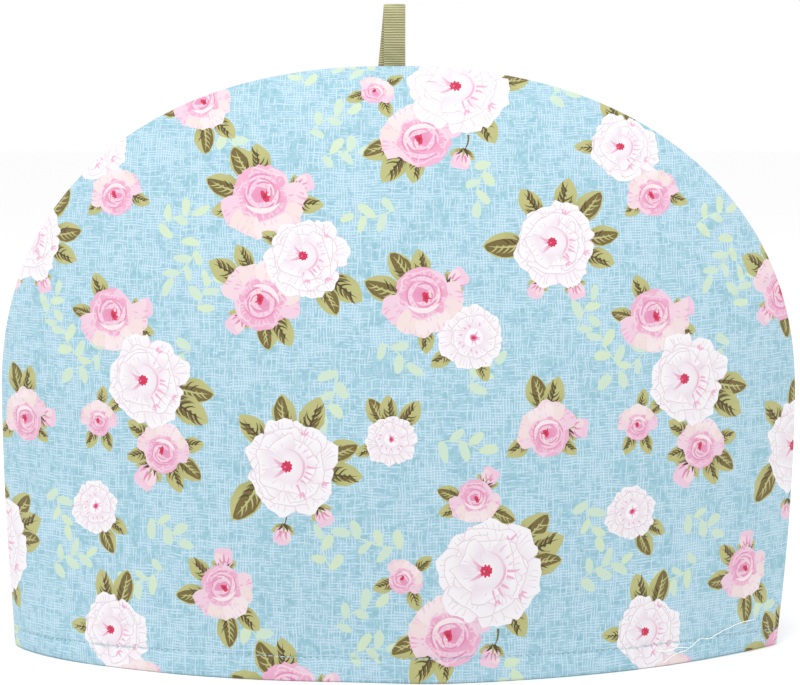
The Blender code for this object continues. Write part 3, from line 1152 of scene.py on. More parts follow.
class NodeGraph:
    """A material's shader nodes, with short ways to add and join them."""

    def __init__(self, name: str) -> None:
        """Make an empty material.

        Args:
            name: the material's name.
        """
        self.material = bpy.data.materials.new(name)
        self.material.use_nodes = True
        self.tree = self.material.node_tree
        self.tree.nodes.clear()

    def add(self, kind: str, **settings: object) -> bpy.types.Node:
        """Add a node and set its properties."""
        node = self.tree.nodes.new(kind)
        for key, value in settings.items():
            setattr(node, key, value)
        return node

    def put(self, socket: bpy.types.NodeSocket, value: object) -> None:
        """Join a socket to another, or set its value."""
        if isinstance(value, bpy.types.NodeSocket):
            self.tree.links.new(value, socket)
        else:
            socket.default_value = value

    def math(self, operation: str, *values: object, clamp: bool = False) -> bpy.types.NodeSocket:
        """Add a Math node.

        Args:
            operation: the node's operation.
            values: sockets or numbers for its inputs, in order.
            clamp: whether the result is kept between 0 and 1.

        Returns:
            Its output.
        """
        node = self.add("ShaderNodeMath", operation=operation, use_clamp=clamp)
        for socket, value in zip(node.inputs, values):
            self.put(socket, value)
        return node.outputs[0]

    def smooth(self, value: object, low: float, high: float, to_low: float = 0.0,
               to_high: float = 1.0) -> bpy.types.NodeSocket:
        """Add a smooth step.

        Args:
            value: the socket it reads.
            low: the value where it starts.
            high: the value where it ends.
            to_low: the result where it starts.
            to_high: the result where it ends.

        Returns:
            Its output.
        """
        node = self.add("ShaderNodeMapRange", interpolation_type="SMOOTHSTEP")
        for socket, item in zip(node.inputs, (value, low, high, to_low, to_high)):
            self.put(socket, item)
        return node.outputs[0]

    def mix(self, share: object, first: object, second: object) -> bpy.types.NodeSocket:
        """Add a colour mix.

        Args:
            share: how much of the second colour there is.
            first: the first colour, a socket or four numbers.
            second: the second colour.

        Returns:
            Its output.
        """
        node = self.add("ShaderNodeMix", data_type="RGBA")
        self.put(node.inputs[0], share)
        self.put(node.inputs[6], first)
        self.put(node.inputs[7], second)
        return node.outputs[2]

    def scaled(self, vector: object, scale: tuple[float, float, float]) -> bpy.types.NodeSocket:
        """Add a Mapping node and return its output."""
        node = self.add("ShaderNodeMapping")
        self.put(node.inputs["Vector"], vector)
        node.inputs["Scale"].default_value = scale
        return node.outputs[0]

    def noise(self, vector: object, scale: float, detail: float = 2.0,
              roughness: float = 0.5) -> bpy.types.NodeSocket:
        """Add a Noise Texture.

        Args:
            vector: the socket of the places.
            scale: its scale.
            detail: its detail.
            roughness: its roughness.

        Returns:
            Its value.
        """
        node = self.add("ShaderNodeTexNoise")
        self.put(node.inputs["Vector"], vector)
        node.inputs["Scale"].default_value = scale
        node.inputs["Detail"].default_value = detail
        node.inputs["Roughness"].default_value = roughness
        return node.outputs["Fac"]

    def cloth(self) -> bpy.types.NodeSocket:
        """Return the place on the cloth, in millimetres."""
        place = self.add("ShaderNodeUVMap", uv_map=CLOTH_MAP).outputs[0]
        return self.scaled(place, (1 / MM, 1 / MM, 1.0))

    def finish(self, colour: object, roughness: float, height: object, bump: float, distance: float,
               sheen: float = 0.0) -> bpy.types.Material:
        """Join everything to a Principled shader.

        Args:
            colour: the base colour, a socket or four numbers.
            roughness: the roughness.
            height: the socket that the bump reads.
            bump: the bump's strength.
            distance: the bump's height in metres.
            sheen: the weight of the cloth sheen.

        Returns:
            The finished material.
        """
        shader = self.add("ShaderNodeBsdfPrincipled")
        output = self.add("ShaderNodeOutputMaterial")
        self.put(shader.inputs["Base Color"], colour)
        shader.inputs["Roughness"].default_value = roughness
        shader.inputs["Specular IOR Level"].default_value = 0.25
        shader.inputs["Sheen Weight"].default_value = sheen
        shader.inputs["Sheen Roughness"].default_value = 0.6
        if height is not None:
            node = self.add("ShaderNodeBump")
            node.inputs["Strength"].default_value = bump
            node.inputs["Distance"].default_value = distance
            self.put(node.inputs["Height"], height)
            self.put(shader.inputs["Normal"], node.outputs[0])
        self.put(output.inputs["Surface"], shader.outputs[0])
        return self.material


@dataclass(frozen=True)
class CottonFinish:
    """Printed cotton: flat inks over a blue ground with an open hatch of pale broken lines, and a painted
    shadow along the hem's stitch line.
    """

    ground_deep: str = "98C7D6"
    ground_light: str = "A8D2E0"
    hatch: str = "D6EDFD"
    hatch_pitch: float = 1.08
    hatch_run: float = 6.2
    thread_pitch: float = 0.42
    # The colour of the painted shadow along the groove of the hem's stitches, and how much of it is laid on
    # at the line.
    groove: str = "4E8496"
    groove_shade: float = 0.62
    roughness: float = 0.92

    def material(self) -> bpy.types.Material:
        """Make the printed face of the cloth."""
        graph = NodeGraph("rose_cotton")
        cloth = graph.cloth()
        print_layer = graph.add("ShaderNodeVertexColor", layer_name=PRINT_LAYER)
        patchy = graph.smooth(graph.noise(cloth, 0.30, 3.0, 0.6), 0.35, 0.65)
        base = graph.mix(patchy, seen_on_cloth(self.ground_deep), seen_on_cloth(self.ground_light))
        ground = graph.mix(self.hatch_lines(graph, cloth), base, seen_on_cloth(self.hatch))
        grain = graph.noise(cloth, 1.6, 3.0, 0.6)
        ink = graph.mix(graph.smooth(grain, 0.3, 0.7, 0.0, 0.06), print_layer.outputs["Color"],
                        seen_on_cloth("FFF6F4"))
        dyed = graph.mix(print_layer.outputs["Alpha"], ground, ink)
        # Painted shadow: the colour darkens towards the groove colour along the hem's stitch line.
        groove = graph.add("ShaderNodeAttribute", attribute_name=GROOVE_SHADOW_LAYER).outputs["Fac"]
        colour = graph.mix(graph.math("MULTIPLY", groove, self.groove_shade), dyed,
                           seen_on_cloth(self.groove))
        height = weave_height(graph, cloth, self.thread_pitch)
        return graph.finish(colour, self.roughness, height, 0.35, 0.00008, 0.12)

    def hatch_lines(self, graph: NodeGraph, cloth: bpy.types.NodeSocket) -> bpy.types.NodeSocket:
        """Return the mask of the pale lines, which run both ways and break off unevenly.

        Args:
            graph: the material.
            cloth: the place on the cloth.

        Returns:
            The mask.
        """
        sway = graph.noise(cloth, 0.10, 2.0)
        split = graph.add("ShaderNodeSeparateXYZ")
        graph.put(split.inputs[0], cloth)
        swayed = [graph.math("MULTIPLY_ADD", sway, 2.2, split.outputs[i]) for i in (0, 1)]
        thicker = graph.math("MULTIPLY", graph.math("SUBTRACT", graph.noise(cloth, 0.07, 2.0), 0.5), 0.30)
        masks = []
        for along, across in ((0, 1), (1, 0)):
            count = graph.math("DIVIDE", swayed[across], self.hatch_pitch)
            row = graph.math("FLOOR", count)
            off = graph.math("ABSOLUTE", graph.math("SUBTRACT", graph.math("SUBTRACT", count, row), 0.5))
            line = graph.smooth(off, 0.06, 0.38, 1.0, 0.0)
            at = graph.add("ShaderNodeCombineXYZ")
            graph.put(at.inputs[0], graph.math("DIVIDE", swayed[along], self.hatch_run))
            graph.put(at.inputs[1], graph.math("MULTIPLY", row, 7.31))
            at.inputs[2].default_value = 3.7 * (along + 1)
            run = graph.math("ADD", graph.noise(at.outputs[0], 1.0, 2.0, 0.7), thicker)
            masks.append(graph.math("MULTIPLY", line, graph.smooth(run, 0.39, 0.58)))
        return graph.math("MULTIPLY", graph.math("MAXIMUM", *masks), 0.86, clamp=True)


def weave_height(graph: NodeGraph, cloth: bpy.types.NodeSocket, pitch: float) -> bpy.types.NodeSocket:
    """Return the height of a plain weave.

    Args:
        graph: the material's nodes.
        cloth: the place on the cloth in millimetres.
        pitch: the distance between threads in millimetres.

    Returns:
        The height, from 0 to 1.
    """
    wander = graph.add("ShaderNodeVectorMath", operation="MULTIPLY_ADD")
    uneven = graph.add("ShaderNodeTexNoise")
    graph.put(uneven.inputs["Vector"], cloth)
    uneven.inputs["Scale"].default_value = 0.9
    graph.put(wander.inputs[0], uneven.outputs["Color"])
    wander.inputs[1].default_value = (0.15, 0.15, 0.0)
    graph.put(wander.inputs[2], cloth)
    split = graph.add("ShaderNodeSeparateXYZ")
    graph.put(split.inputs[0], wander.outputs[0])
    turn = 2 * math.pi / pitch
    warp = graph.math("SINE", graph.math("MULTIPLY", split.outputs[0], turn))
    weft = graph.math("SINE", graph.math("MULTIPLY", split.outputs[1], turn))
    return graph.math("MULTIPLY_ADD", graph.math("MULTIPLY", warp, weft), 0.5, 0.5)


@dataclass(frozen=True)
class ReverseFinish:
    """The unprinted side of the cotton: pale blue, with the weave showing."""

    light: str = "E3EEF0"
    dark: str = "CFE2E7"

    def material(self) -> bpy.types.Material:
        """Make the reverse of the cloth."""
        graph = NodeGraph("cotton_reverse")
        cloth = graph.cloth()
        soft = graph.noise(cloth, 0.06, 3.0)
        colour = graph.mix(graph.smooth(soft, 0.35, 0.65), linear(self.dark), linear(self.light))
        return graph.finish(colour, 0.95, weave_height(graph, cloth, 0.42), 0.4, 0.0001, 0.1)


@dataclass(frozen=True)
class RibbonFinish:
    """Olive grosgrain: lighter ribs with darker lines between, partly its weave and partly painted shade in
    the valleys between its raised ribs.
    """

    rib: str = "BDBA92"
    between: str = "827E52"
    rib_pitch: float = 0.98

    def material(self) -> bpy.types.Material:
        """Make the ribbon's material."""
        graph = NodeGraph("grosgrain")
        cloth = graph.cloth()
        split = graph.add("ShaderNodeSeparateXYZ")
        graph.put(split.inputs[0], cloth)
        # The colour follows the ribbon's raised ribs: the darker lines between them are partly its weave
        # and partly painted shade in the valleys.
        phase = graph.math("MULTIPLY", split.outputs[1], 2 * math.pi / self.rib_pitch)
        rib = graph.smooth(graph.math("COSINE", phase), -0.7, 0.5)
        thread = graph.noise(graph.scaled(cloth, (6.0, 0.8, 1.0)), 1.0, 2.0, 0.6)
        shade = graph.math("MULTIPLY", rib, graph.smooth(thread, 0.2, 0.7, 0.75, 1.0))
        colour = graph.mix(shade, linear(self.between), linear(self.rib))
        return graph.finish(colour, 0.62, thread, 0.3, 0.00008, 0.25)


@dataclass(frozen=True)
class ThreadFinish:
    """Fine sewing thread with a slight twist."""

    name: str = "sewing_thread"
    light: str = "CFE4EA"
    dark: str = "A9CBD7"

    def material(self) -> bpy.types.Material:
        """Make the thread's material."""
        graph = NodeGraph(self.name)
        place = graph.add("ShaderNodeTexCoord").outputs["Object"]
        twist = graph.noise(graph.scaled(place, (2500.0, 2500.0, 2500.0)), 1.0, 1.0)
        colour = graph.mix(graph.smooth(twist, 0.4, 0.6), linear(self.dark), linear(self.light))
        return graph.finish(colour, 0.6, twist, 0.4, 0.00005, 0.2)


@dataclass(frozen=True)
class FloorFinish:
    """A white sweep with a painted shadow: greyer in front of the cosy, which also dims the light bounced
    onto the cosy's lower front.
    """

    shadow_grey: str = "D6D6D6"
    white: str = "FCFCFC"
    shadow_centre: tuple[float, float, float] = (0.0, 0.42, 0.0)
    shadow_reach: tuple[float, float] = (0.26, 0.40)

    def material(self) -> bpy.types.Material:
        """Make the floor's material."""
        graph = NodeGraph("white_sweep")
        moved = graph.add("ShaderNodeVectorMath", operation="ADD")
        graph.put(moved.inputs[0], graph.add("ShaderNodeTexCoord").outputs["Object"])
        moved.inputs[1].default_value = self.shadow_centre
        far = graph.add("ShaderNodeVectorMath", operation="LENGTH")
        graph.put(far.inputs[0], moved.outputs[0])
        colour = graph.mix(graph.smooth(far.outputs["Value"], *self.shadow_reach), linear(self.shadow_grey),
                           linear(self.white))
        return graph.finish(colour, 0.9, None, 0.0, 0.0)


def mesh_of(shape: bmesh.types.BMesh, name: str) -> bpy.types.Mesh:
    """Turn finished geometry into a mesh.

    Args:
        shape: the geometry, which isn't used after this.
        name: the mesh's name.

    Returns:
        The mesh.
    """
    mesh = bpy.data.meshes.new(name)
    shape.to_mesh(mesh)
    shape.free()
    return mesh


def finished_piece(name: str, mesh: bpy.types.Mesh, materials: Sequence[bpy.types.Material], slot: str,
                   *nodes: str) -> bpy.types.Object:
    """Put a finished mesh in the scene as a piece of the cosy.

    Args:
        name: the piece's name.
        mesh: its mesh, in place.
        materials: its materials in slot order.
        slot: the record's material slot, which is not used.
        nodes: the solids that it stands for.

    Returns:
        The piece.
    """
    for material in materials:
        mesh.materials.append(material)
    mesh.shade_smooth()
    piece = bpy.data.objects.new(name, mesh)
    bpy.context.scene.collection.objects.link(piece)
    if nodes:
        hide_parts(*nodes)
    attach(piece, BODY)
    LOG.info("%s: %d faces", name, len(mesh.polygons))
    return piece


def ring_of(links: Iterable[tuple[int, int]], places: Sequence[Sequence[float]]) -> list[int]:
    """Put the edges of one closed ring in order.

    Args:
        links: the edges as pairs of point numbers.
        places: where each point is.

    Returns:
        The numbers of the ring's points, anticlockwise.
    """
    beside: dict[int, list[int]] = {}
    for first, second in links:
        beside.setdefault(first, []).append(second)
        beside.setdefault(second, []).append(first)
    ring = [next(iter(beside))]
    ahead = beside[ring[0]][0]
    while ahead != ring[0]:
        ring.append(ahead)
        one, other = beside[ahead]
        ahead = other if one == ring[-2] else one
    around = np.array([tuple(places[i]) for i in ring])
    turned = np.roll(around, -1, axis=0)
    area = (around[:, 0] * turned[:, 1] - around[:, 1] * turned[:, 0]).sum()
    return ring if area > 0 else ring[::-1]


def visible_edges(flat: Sequence[Vector], triangles: Sequence[Sequence[int]], tops: Sequence[int],
                  fixed: set[int]) -> tuple[list[Vector], list[tuple[int, int]], list[int]]:
    """Find the edges of the print that show, without the ones that lie hidden under other ink.

    Args:
        flat: the points of the cut print.
        triangles: its triangles.
        tops: the number of the patch on top at each triangle.
        fixed: the points to keep even where an edge runs straight through them.

    Returns:
        The points that the edges run through, the edges as pairs of their numbers, and the cloth's outline.
    """
    beside: dict[tuple[int, int], list[int]] = {}
    for triangle, top in zip(triangles, tops):
        for a, b in zip(triangle, (*triangle[1:], triangle[0])):
            beside.setdefault((min(a, b), max(a, b)), []).append(top)
    joined: dict[int, set[int]] = {}
    border: list[tuple[int, int]] = []
    for (a, b), found in beside.items():
        sides = set(found) if len(found) == 2 else {*found, OUTSIDE}
        if len(sides) > 1:
            joined.setdefault(a, set()).add(b)
            joined.setdefault(b, set()).add(a)
            if OUTSIDE in sides:
                border.append((a, b))
    for point in list(joined):
        if point in fixed or len(joined[point]) != 2:
            continue
        a, b = joined[point]
        run = flat[b] - flat[a]
        off = abs(run.cross(flat[point] - flat[a])) / max(run.length, 1e-12)
        if off < STRAIGHT and b not in joined[a]:
            joined[a].remove(point)
            joined[b].remove(point)
            joined[a].add(b)
            joined[b].add(a)
            del joined[point]
    number = {point: i for i, point in enumerate(joined)}
    links = [(number[a], number[b]) for a in joined for b in joined[a] if a < b]
    ring = [number[point] for point in ring_of(border, flat) if point in number]
    return [flat[point] for point in joined], links, ring


@dataclass
class PrintedPanel:
    """One panel of the cosy: printed outside, plain inside, turned in at the seam and up at the hem."""

    name: str
    node: str
    surface: PanelSurface
    print_shift: complex
    grid_pitch: float = 0.0030
    inner_pitch: float = 0.0075
    edge_step: float = 0.0026
    edge_rows: tuple[float, ...] = (0.0005, 0.0012, 0.0021, 0.0033)
    hem_rows: tuple[float, ...] = (-0.0011, -0.00035, 0.0, 0.00035, 0.0011)
    hem_row_step: float = 0.0016
    # Half the width of the painted shadow along the hem's stitch line.
    groove_half: float = 0.00032
    fold_rows: tuple[tuple[float, float, float], ...] = (
        (0.146, 0.45, 0.707), (0.5, 0.85, 1.0), (0.854, 1.0, 0.707), (1.0, 1.0, 0.0))
    merge: float = 1e-7
    weld: float = 1e-6
    on_the_hem: float = 2e-5
    turn_up_rows: tuple[float, ...] = (-0.0009, -0.0003, 0.0003, 0.0009)
    turn_up_margin: float = 0.006
    turn_up_step: float = 0.005
    bake_width: float = 0.360
    bake_height: float = 0.268

    def edge(self) -> tuple[Array, int]:
        """Return the outline of the flat cloth between its folds, and how many points its hem has.

        Returns:
            The outline, anticlockwise from the left end of the hem, and the count of hem points.
        """
        form = self.surface.form
        cloth_map = self.surface.map
        foot = self.surface.sewing.hem_radius
        steps = int(math.pi * form.half_width * 1.15 / self.edge_step)
        angle = np.linspace(0, np.pi, steps)
        rise = np.sin(angle) ** (2 / form.dome_fullness)
        dome = form.widest_height + (form.height - form.widest_height) * rise
        side_steps = int(form.widest_height / self.edge_step)
        low = np.linspace(foot, form.widest_height, side_steps, endpoint=False)
        right_z = np.concatenate([low, dome[: steps // 2 + 1]])
        left_z = np.concatenate([low, dome[: steps // 2]])
        right = np.stack(cloth_map.seam(1, right_z), axis=1)
        left = np.stack(cloth_map.seam(-1, left_z), axis=1)[::-1]
        hem_steps = int((right[0, 0] - left[-1, 0]) / self.edge_step)
        hem_s = np.linspace(left[-1, 0], right[0, 0], hem_steps + 1)[1:-1]
        hem = np.stack([hem_s, np.full_like(hem_s, right[0, 1])], axis=1)
        outline = np.concatenate([left[-1:], hem, right, left[:-1]])
        if self.surface.cloth_sign() < 0:
            outline = outline[::-1] * (-1, 1)
            hem_count = len(hem) + 2
            outline = np.roll(outline, hem_count, axis=0)
        return outline, len(hem) + 2

    def inside(self, outline: Array, pitch: float) -> list[tuple[float, float]]:
        """Return staggered rows of points over the cloth, so that it can bend.

        Args:
            outline: the outline of the flat cloth.
            pitch: the distance between points.

        Returns:
            The points that lie clear of the seam.
        """
        low = outline.min(axis=0)
        high = outline.max(axis=0)
        columns = int((high[0] - low[0]) / pitch)
        rows = int((high[1] - low[1]) / pitch)
        points = []
        for row in range(1, rows):
            t = low[1] + row * pitch
            ends = self.surface.edges_at(t)
            for column in range(1, columns):
                s = low[0] + (column + (0.25 if row % 2 else -0.25)) * pitch
                if ends[0] + pitch / 2 < s < ends[1] - pitch / 2:
                    points.append((s, t))
        return points

    def extra_rows(self, outline: Array, hem_count: int) -> list[tuple[float, float]]:
        """Return rows of points that follow the seam and the hem's stitches, where the cloth bends most.

        Args:
            outline: the outline of the flat cloth.
            hem_count: how many of its points are on the hem.

        Returns:
            The points.
        """
        points = []
        centre = np.array([0.0, 0.10])
        seam = outline[hem_count:]
        for inset in self.edge_rows:
            inward = centre - seam
            inward /= np.linalg.norm(inward, axis=1)[:, None]
            points += [tuple(p) for p in seam + inward * inset]
        s = np.arange(outline[:, 0].min() + 0.003, outline[:, 0].max() - 0.003, self.hem_row_step)
        line = self.surface.sewing.line_height(s)
        for offset in self.hem_rows:
            points += list(zip(s, line + offset))
        return points

    def printed_sheet(self, pattern: RosePrint) -> tuple[Array, list[list[int]], Array]:
        """Cut the print into the flat cloth.

        The print is cut once to find what shows on top, and then again with only the edges that show.

        Args:
            pattern: the print.

        Returns:
            The points of the flat cloth, its triangles, and the colour of each triangle's corners with an
            alpha of 1 where there is ink.
        """
        outline, hem_count = self.edge()
        low = complex(*outline.min(axis=0)) / MM
        high = complex(*outline.max(axis=0)) / MM
        patches = pattern.over(low, high, self.print_shift)
        points = [Vector(p) for p in outline]
        faces = [list(range(len(outline)))]
        for patch in patches:
            first = len(points)
            points += [Vector((p.real * MM, p.imag * MM)) for p in patch.outline]
            faces.append(list(range(first, len(points))))
        flat, _, triangles, sources, _, owners = delaunay_2d_cdt(points, [], faces, 0, self.merge, True)
        tops = [max(o) if 0 in o else OUTSIDE for o in owners]
        fixed = {i for i, source in enumerate(sources) if any(j < len(outline) for j in source)}
        showing, links, ring = visible_edges(flat, triangles, tops, fixed)
        showing += [Vector(p) for p in self.inside(outline, self.grid_pitch)]
        showing += [Vector(p) for p in self.extra_rows(outline, hem_count)]
        places, _, cut, _, _, within = delaunay_2d_cdt(showing, links, [ring], 0, self.merge, True)
        finder = BVHTree.FromPolygons([v.to_3d() for v in flat], triangles)
        kept = []
        for triangle, owner in zip(cut, within):
            if not owner:
                continue
            centre = sum((places[i] for i in triangle), Vector((0.0, 0.0))) / 3
            under = finder.ray_cast(Vector((*centre, 1.0)), Vector((0.0, 0.0, -1.0)))[2]
            kept.append((list(triangle), max(tops[under], 0) if under is not None else 0))
        spots = np.array([tuple(v) for v in places])
        corners = spots[np.array([t for t, _ in kept])]
        colours = self.corner_colours(corners / MM, np.array([o for _, o in kept]), patches)
        LOG.info("%s: %d patches, %d triangles", self.name, len(patches), len(kept))
        return spots, [t for t, _ in kept], colours

    def corner_colours(self, corners: Array, owners: Array, patches: Sequence[Patch]) -> Array:
        """Work out the colour of each triangle's corners from the patch on top.

        Args:
            corners: the corners' places in millimetres.
            owners: the number of the patch on top, or 0 for the bare ground.
            patches: the patches.

        Returns:
            Red, green, blue and the ink's alpha for each corner.
        """
        near = np.array([(0, 0, 0)] + [p.near.rgb() for p in patches])[owners]
        far = np.array([(0, 0, 0)] + [p.far.rgb() for p in patches])[owners]
        start = np.array([0j] + [p.start for p in patches])[owners][:, None]
        end = np.array([1j] + [p.end for p in patches])[owners][:, None]
        rounded = np.array([False] + [p.round_fade for p in patches])[owners][:, None]
        spots = corners[:, :, 0] + 1j * corners[:, :, 1]
        run = end - start
        straight = ((spots - start) * np.conj(run)).real / np.abs(run) ** 2
        share = np.clip(np.where(rounded, np.abs(spots - start) / np.abs(run), straight), 0, 1)[:, :, None]
        rgb = near[:, None, :] * (1 - share) + far[:, None, :] * share
        ink = np.broadcast_to((owners > 0)[:, None, None], share.shape).astype(float)
        return np.concatenate([rgb, ink], axis=2)

    def build(self, pattern: RosePrint, cotton: bpy.types.Material,
              reverse: bpy.types.Material) -> bpy.types.Object:
        """Make the panel.

        Args:
            pattern: the print.
            cotton: the material of the printed side.
            reverse: the material of the inner side.

        Returns:
            The finished panel.
        """
        places, triangles, colours = self.printed_sheet(pattern)
        shape = bmesh.new()
        s_layer = shape.verts.layers.float.new("s")
        t_layer = shape.verts.layers.float.new("t")
        spread = shape.verts.layers.float.new("spread")
        groove_shadow_layer = shape.verts.layers.float.new(GROOVE_SHADOW_LAYER)
        ink_layer = shape.loops.layers.float_color.new(PRINT_LAYER)
        cloth_layer = shape.loops.layers.uv.new(CLOTH_MAP)
        bake_layer = shape.loops.layers.uv.new(BAKE_MAP)
        used = sorted({i for t in triangles for i in t})
        where = self.surface.outer(places[used, 0], places[used, 1])
        # Painted shadow along the groove of the hem's stitches: 1 on the stitch line, fading to 0 at
        # groove_half from it.
        off = places[used, 1] - self.surface.sewing.line_height(places[used, 0])
        shade = np.clip(1 - np.abs(off) / self.groove_half, 0, 1)
        verts = {}
        for index, spot, dark in zip(used, where, shade):
            vert = shape.verts.new(spot)
            vert[s_layer], vert[t_layer] = places[index]
            vert[groove_shadow_layer] = dark
            verts[index] = vert
        for triangle, corners in zip(triangles, colours):
            face = shape.faces.new([verts[i] for i in triangle])
            for loop, colour in zip(face.loops, corners):
                loop[ink_layer] = colour
        boundary = [edge for edge in shape.edges if edge.is_boundary]
        rim = self.fold_edges(shape, boundary, (s_layer, t_layer, spread))
        self.line_inside(shape, rim, (s_layer, t_layer))
        bmesh.ops.remove_doubles(shape, verts=shape.verts[:], dist=self.weld)
        bmesh.ops.recalc_face_normals(shape, faces=shape.faces[:])
        self.lay_maps(shape, (s_layer, t_layer, spread), cloth_layer, bake_layer)
        mesh = mesh_of(shape, self.name)
        mesh.color_attributes.active_color_name = PRINT_LAYER
        mesh.uv_layers[CLOTH_MAP].active_render = True
        return finished_piece(self.name, mesh, (cotton, reverse), CLOTH_SLOT, self.node)

    def fold_edges(self, shape: bmesh.types.BMesh, boundary: list[bmesh.types.BMEdge],
                   layers: tuple) -> list[bmesh.types.BMEdge]:
        """Turn the cloth in along the seam and under along the hem.

        Args:
            shape: the panel so far.
            boundary: its open edges.
            layers: the layers of its places on the cloth, and of how far past its edge a point is.

        Returns:
            The open edges of the last row.
        """
        s_layer, t_layer, spread = layers
        sewing = self.surface.sewing
        foot = float(self.surface.map.t[0]) + sewing.hem_radius
        edges = boundary
        start = {}
        end = {}
        for edge in boundary:
            for vert in edge.verts:
                key = (vert[s_layer], vert[t_layer])
                start[key] = vert.co.copy()
        keys = list(start)
        table = np.array(keys)
        for key, spot in zip(keys, self.surface.inner(table[:, 0], table[:, 1])):
            end[key] = Vector(spot)
        for number, (inward, closing, drop) in enumerate(self.fold_rows):
            grown = bmesh.ops.extrude_edge_only(shape, edges=edges)["geom"]
            for vert in (item for item in grown if isinstance(item, bmesh.types.BMVert)):
                key = (vert[s_layer], vert[t_layer])
                outer, inner = start[key], end[key]
                on_hem = abs(vert[t_layer] - foot) < self.on_the_hem
                share = inward if on_hem else inward**2
                spot = outer.lerp(inner, share)
                if on_hem:
                    spot.z -= sewing.hem_radius * drop
                else:
                    spot.y = outer.y + (inner.y - outer.y) * closing
                last = number == len(self.fold_rows) - 1
                vert.co = inner if last else spot
                vert[spread] = number + 1.0
            edges = [item for item in grown if isinstance(item, bmesh.types.BMEdge) and item.is_boundary]
        return edges

    def line_inside(self, shape: bmesh.types.BMesh, rim: list[bmesh.types.BMEdge], layers: tuple) -> None:
        """Close the panel with its plain inner surface, sewn to the last row of the folds.

        Args:
            shape: the panel so far.
            rim: the open edges of the folds.
            layers: the layers of its places on the cloth.
        """
        s_layer, t_layer = layers
        keys: dict[tuple[float, float], int] = {}
        for edge in rim:
            for vert in edge.verts:
                keys.setdefault((vert[s_layer], vert[t_layer]), len(keys))
        links = [tuple(keys[(v[s_layer], v[t_layer])] for v in edge.verts) for edge in rim]
        points = [Vector(key) for key in keys]
        ring = ring_of(links, points)
        outline = np.array(list(keys))
        points += [Vector(p) for p in self.inside(outline, self.inner_pitch)]
        turn_up = self.surface.sewing.turn_up
        margin = self.turn_up_margin
        across = np.arange(outline[:, 0].min() + margin, outline[:, 0].max() - margin, self.turn_up_step)
        points += [Vector((s, turn_up + offset)) for offset in self.turn_up_rows for s in across]
        flat, _, triangles, _, _, within = delaunay_2d_cdt(points, [], [ring], 0, self.merge, True)
        places = np.array([tuple(v) for v in flat])
        where = self.surface.inner(places[:, 0], places[:, 1])
        verts = []
        for place, spot in zip(places, where):
            vert = shape.verts.new(spot)
            vert[s_layer], vert[t_layer] = place
            verts.append(vert)
        for triangle, owner in zip(triangles, within):
            if owner:
                face = shape.faces.new([verts[i] for i in reversed(triangle)])
                face.material_index = 1
        bmesh.ops.delete(shape, geom=[v for v in verts if not v.link_faces], context="VERTS")

    def lay_maps(self, shape: bmesh.types.BMesh, layers: tuple, cloth_layer: object,
                 bake_layer: object) -> None:
        """Give each corner its place on the cloth, and a place of its own for baking.

        Args:
            shape: the panel.
            layers: the layers of its places on the cloth, and of how far past its edge a point is.
            cloth_layer: the map of the cloth.
            bake_layer: the map for baking.
        """
        s_layer, t_layer, spread = layers
        width, tall = self.bake_width, self.bake_height
        for face in shape.faces:
            for loop in face.loops:
                vert = loop.vert
                s, t = vert[s_layer], vert[t_layer]
                loop[cloth_layer].uv = (s, t)
                if face.material_index == 1:
                    loop[bake_layer].uv = (0.02 + (s + width / 2) / width * 0.30, 0.775 + t / tall * 0.215)
                else:
                    outward = Vector((s, t - 0.10)).normalized() * vert[spread] * 0.0007
                    u = (s + outward.x + width / 2) / width
                    v = (t + outward.y + 0.004) / width
                    loop[bake_layer].uv = (u, v)


@dataclass
class HemStitches:
    """The machine stitches that hold up the hem of one panel."""

    name: str
    surface: PanelSurface
    pitch: float = 0.0024
    length: float = 0.0019
    thickness: float = 0.00032
    flattened: float = 1.3
    stand: float = 0.30
    end_height: float = 0.009
    end_gap: float = 0.003
    sides: int = 8
    rings: int = 6

    def build(self, material: bpy.types.Material) -> bpy.types.Object:
        """Make the row of stitches.

        Args:
            material: the thread's material.

        Returns:
            The finished row.
        """
        cloth_map = self.surface.map
        right, _ = cloth_map.seam(1, np.array([self.end_height]))
        left, _ = cloth_map.seam(-1, np.array([self.end_height]))
        ends = sorted((right[0] * self.surface.cloth_sign(), left[0] * self.surface.cloth_sign()))
        centres = np.arange(ends[0] + self.end_gap, ends[1] - self.end_gap, self.pitch)
        line = self.surface.sewing.line_height(centres)
        here = self.surface.outer(centres, line)
        ahead_s = centres + self.length / 2
        ahead = self.surface.outer(ahead_s, self.surface.sewing.line_height(ahead_s))
        up = self.surface.outer(centres, line + self.length / 2)
        shape = bmesh.new()
        for spot, on, over in zip(here, ahead, up):
            along = Vector(on - spot).normalized()
            normal = along.cross(Vector(over - spot)).normalized()
            if normal.y * self.surface.side < 0:
                normal.negate()
            across = normal.cross(along)
            turn = Matrix((across, normal, along)).transposed().to_4x4()
            radius = self.thickness / 2
            size = Matrix.Diagonal((radius, radius / self.flattened, self.length / 2, 1.0))
            place = Matrix.Translation(Vector(spot) + normal * self.thickness * self.stand)
            bmesh.ops.create_uvsphere(shape, u_segments=self.sides, v_segments=self.rings, radius=1.0,
                                      matrix=place @ turn @ size)
        return finished_piece(self.name, mesh_of(shape, self.name), (material,), CLOTH_SLOT)


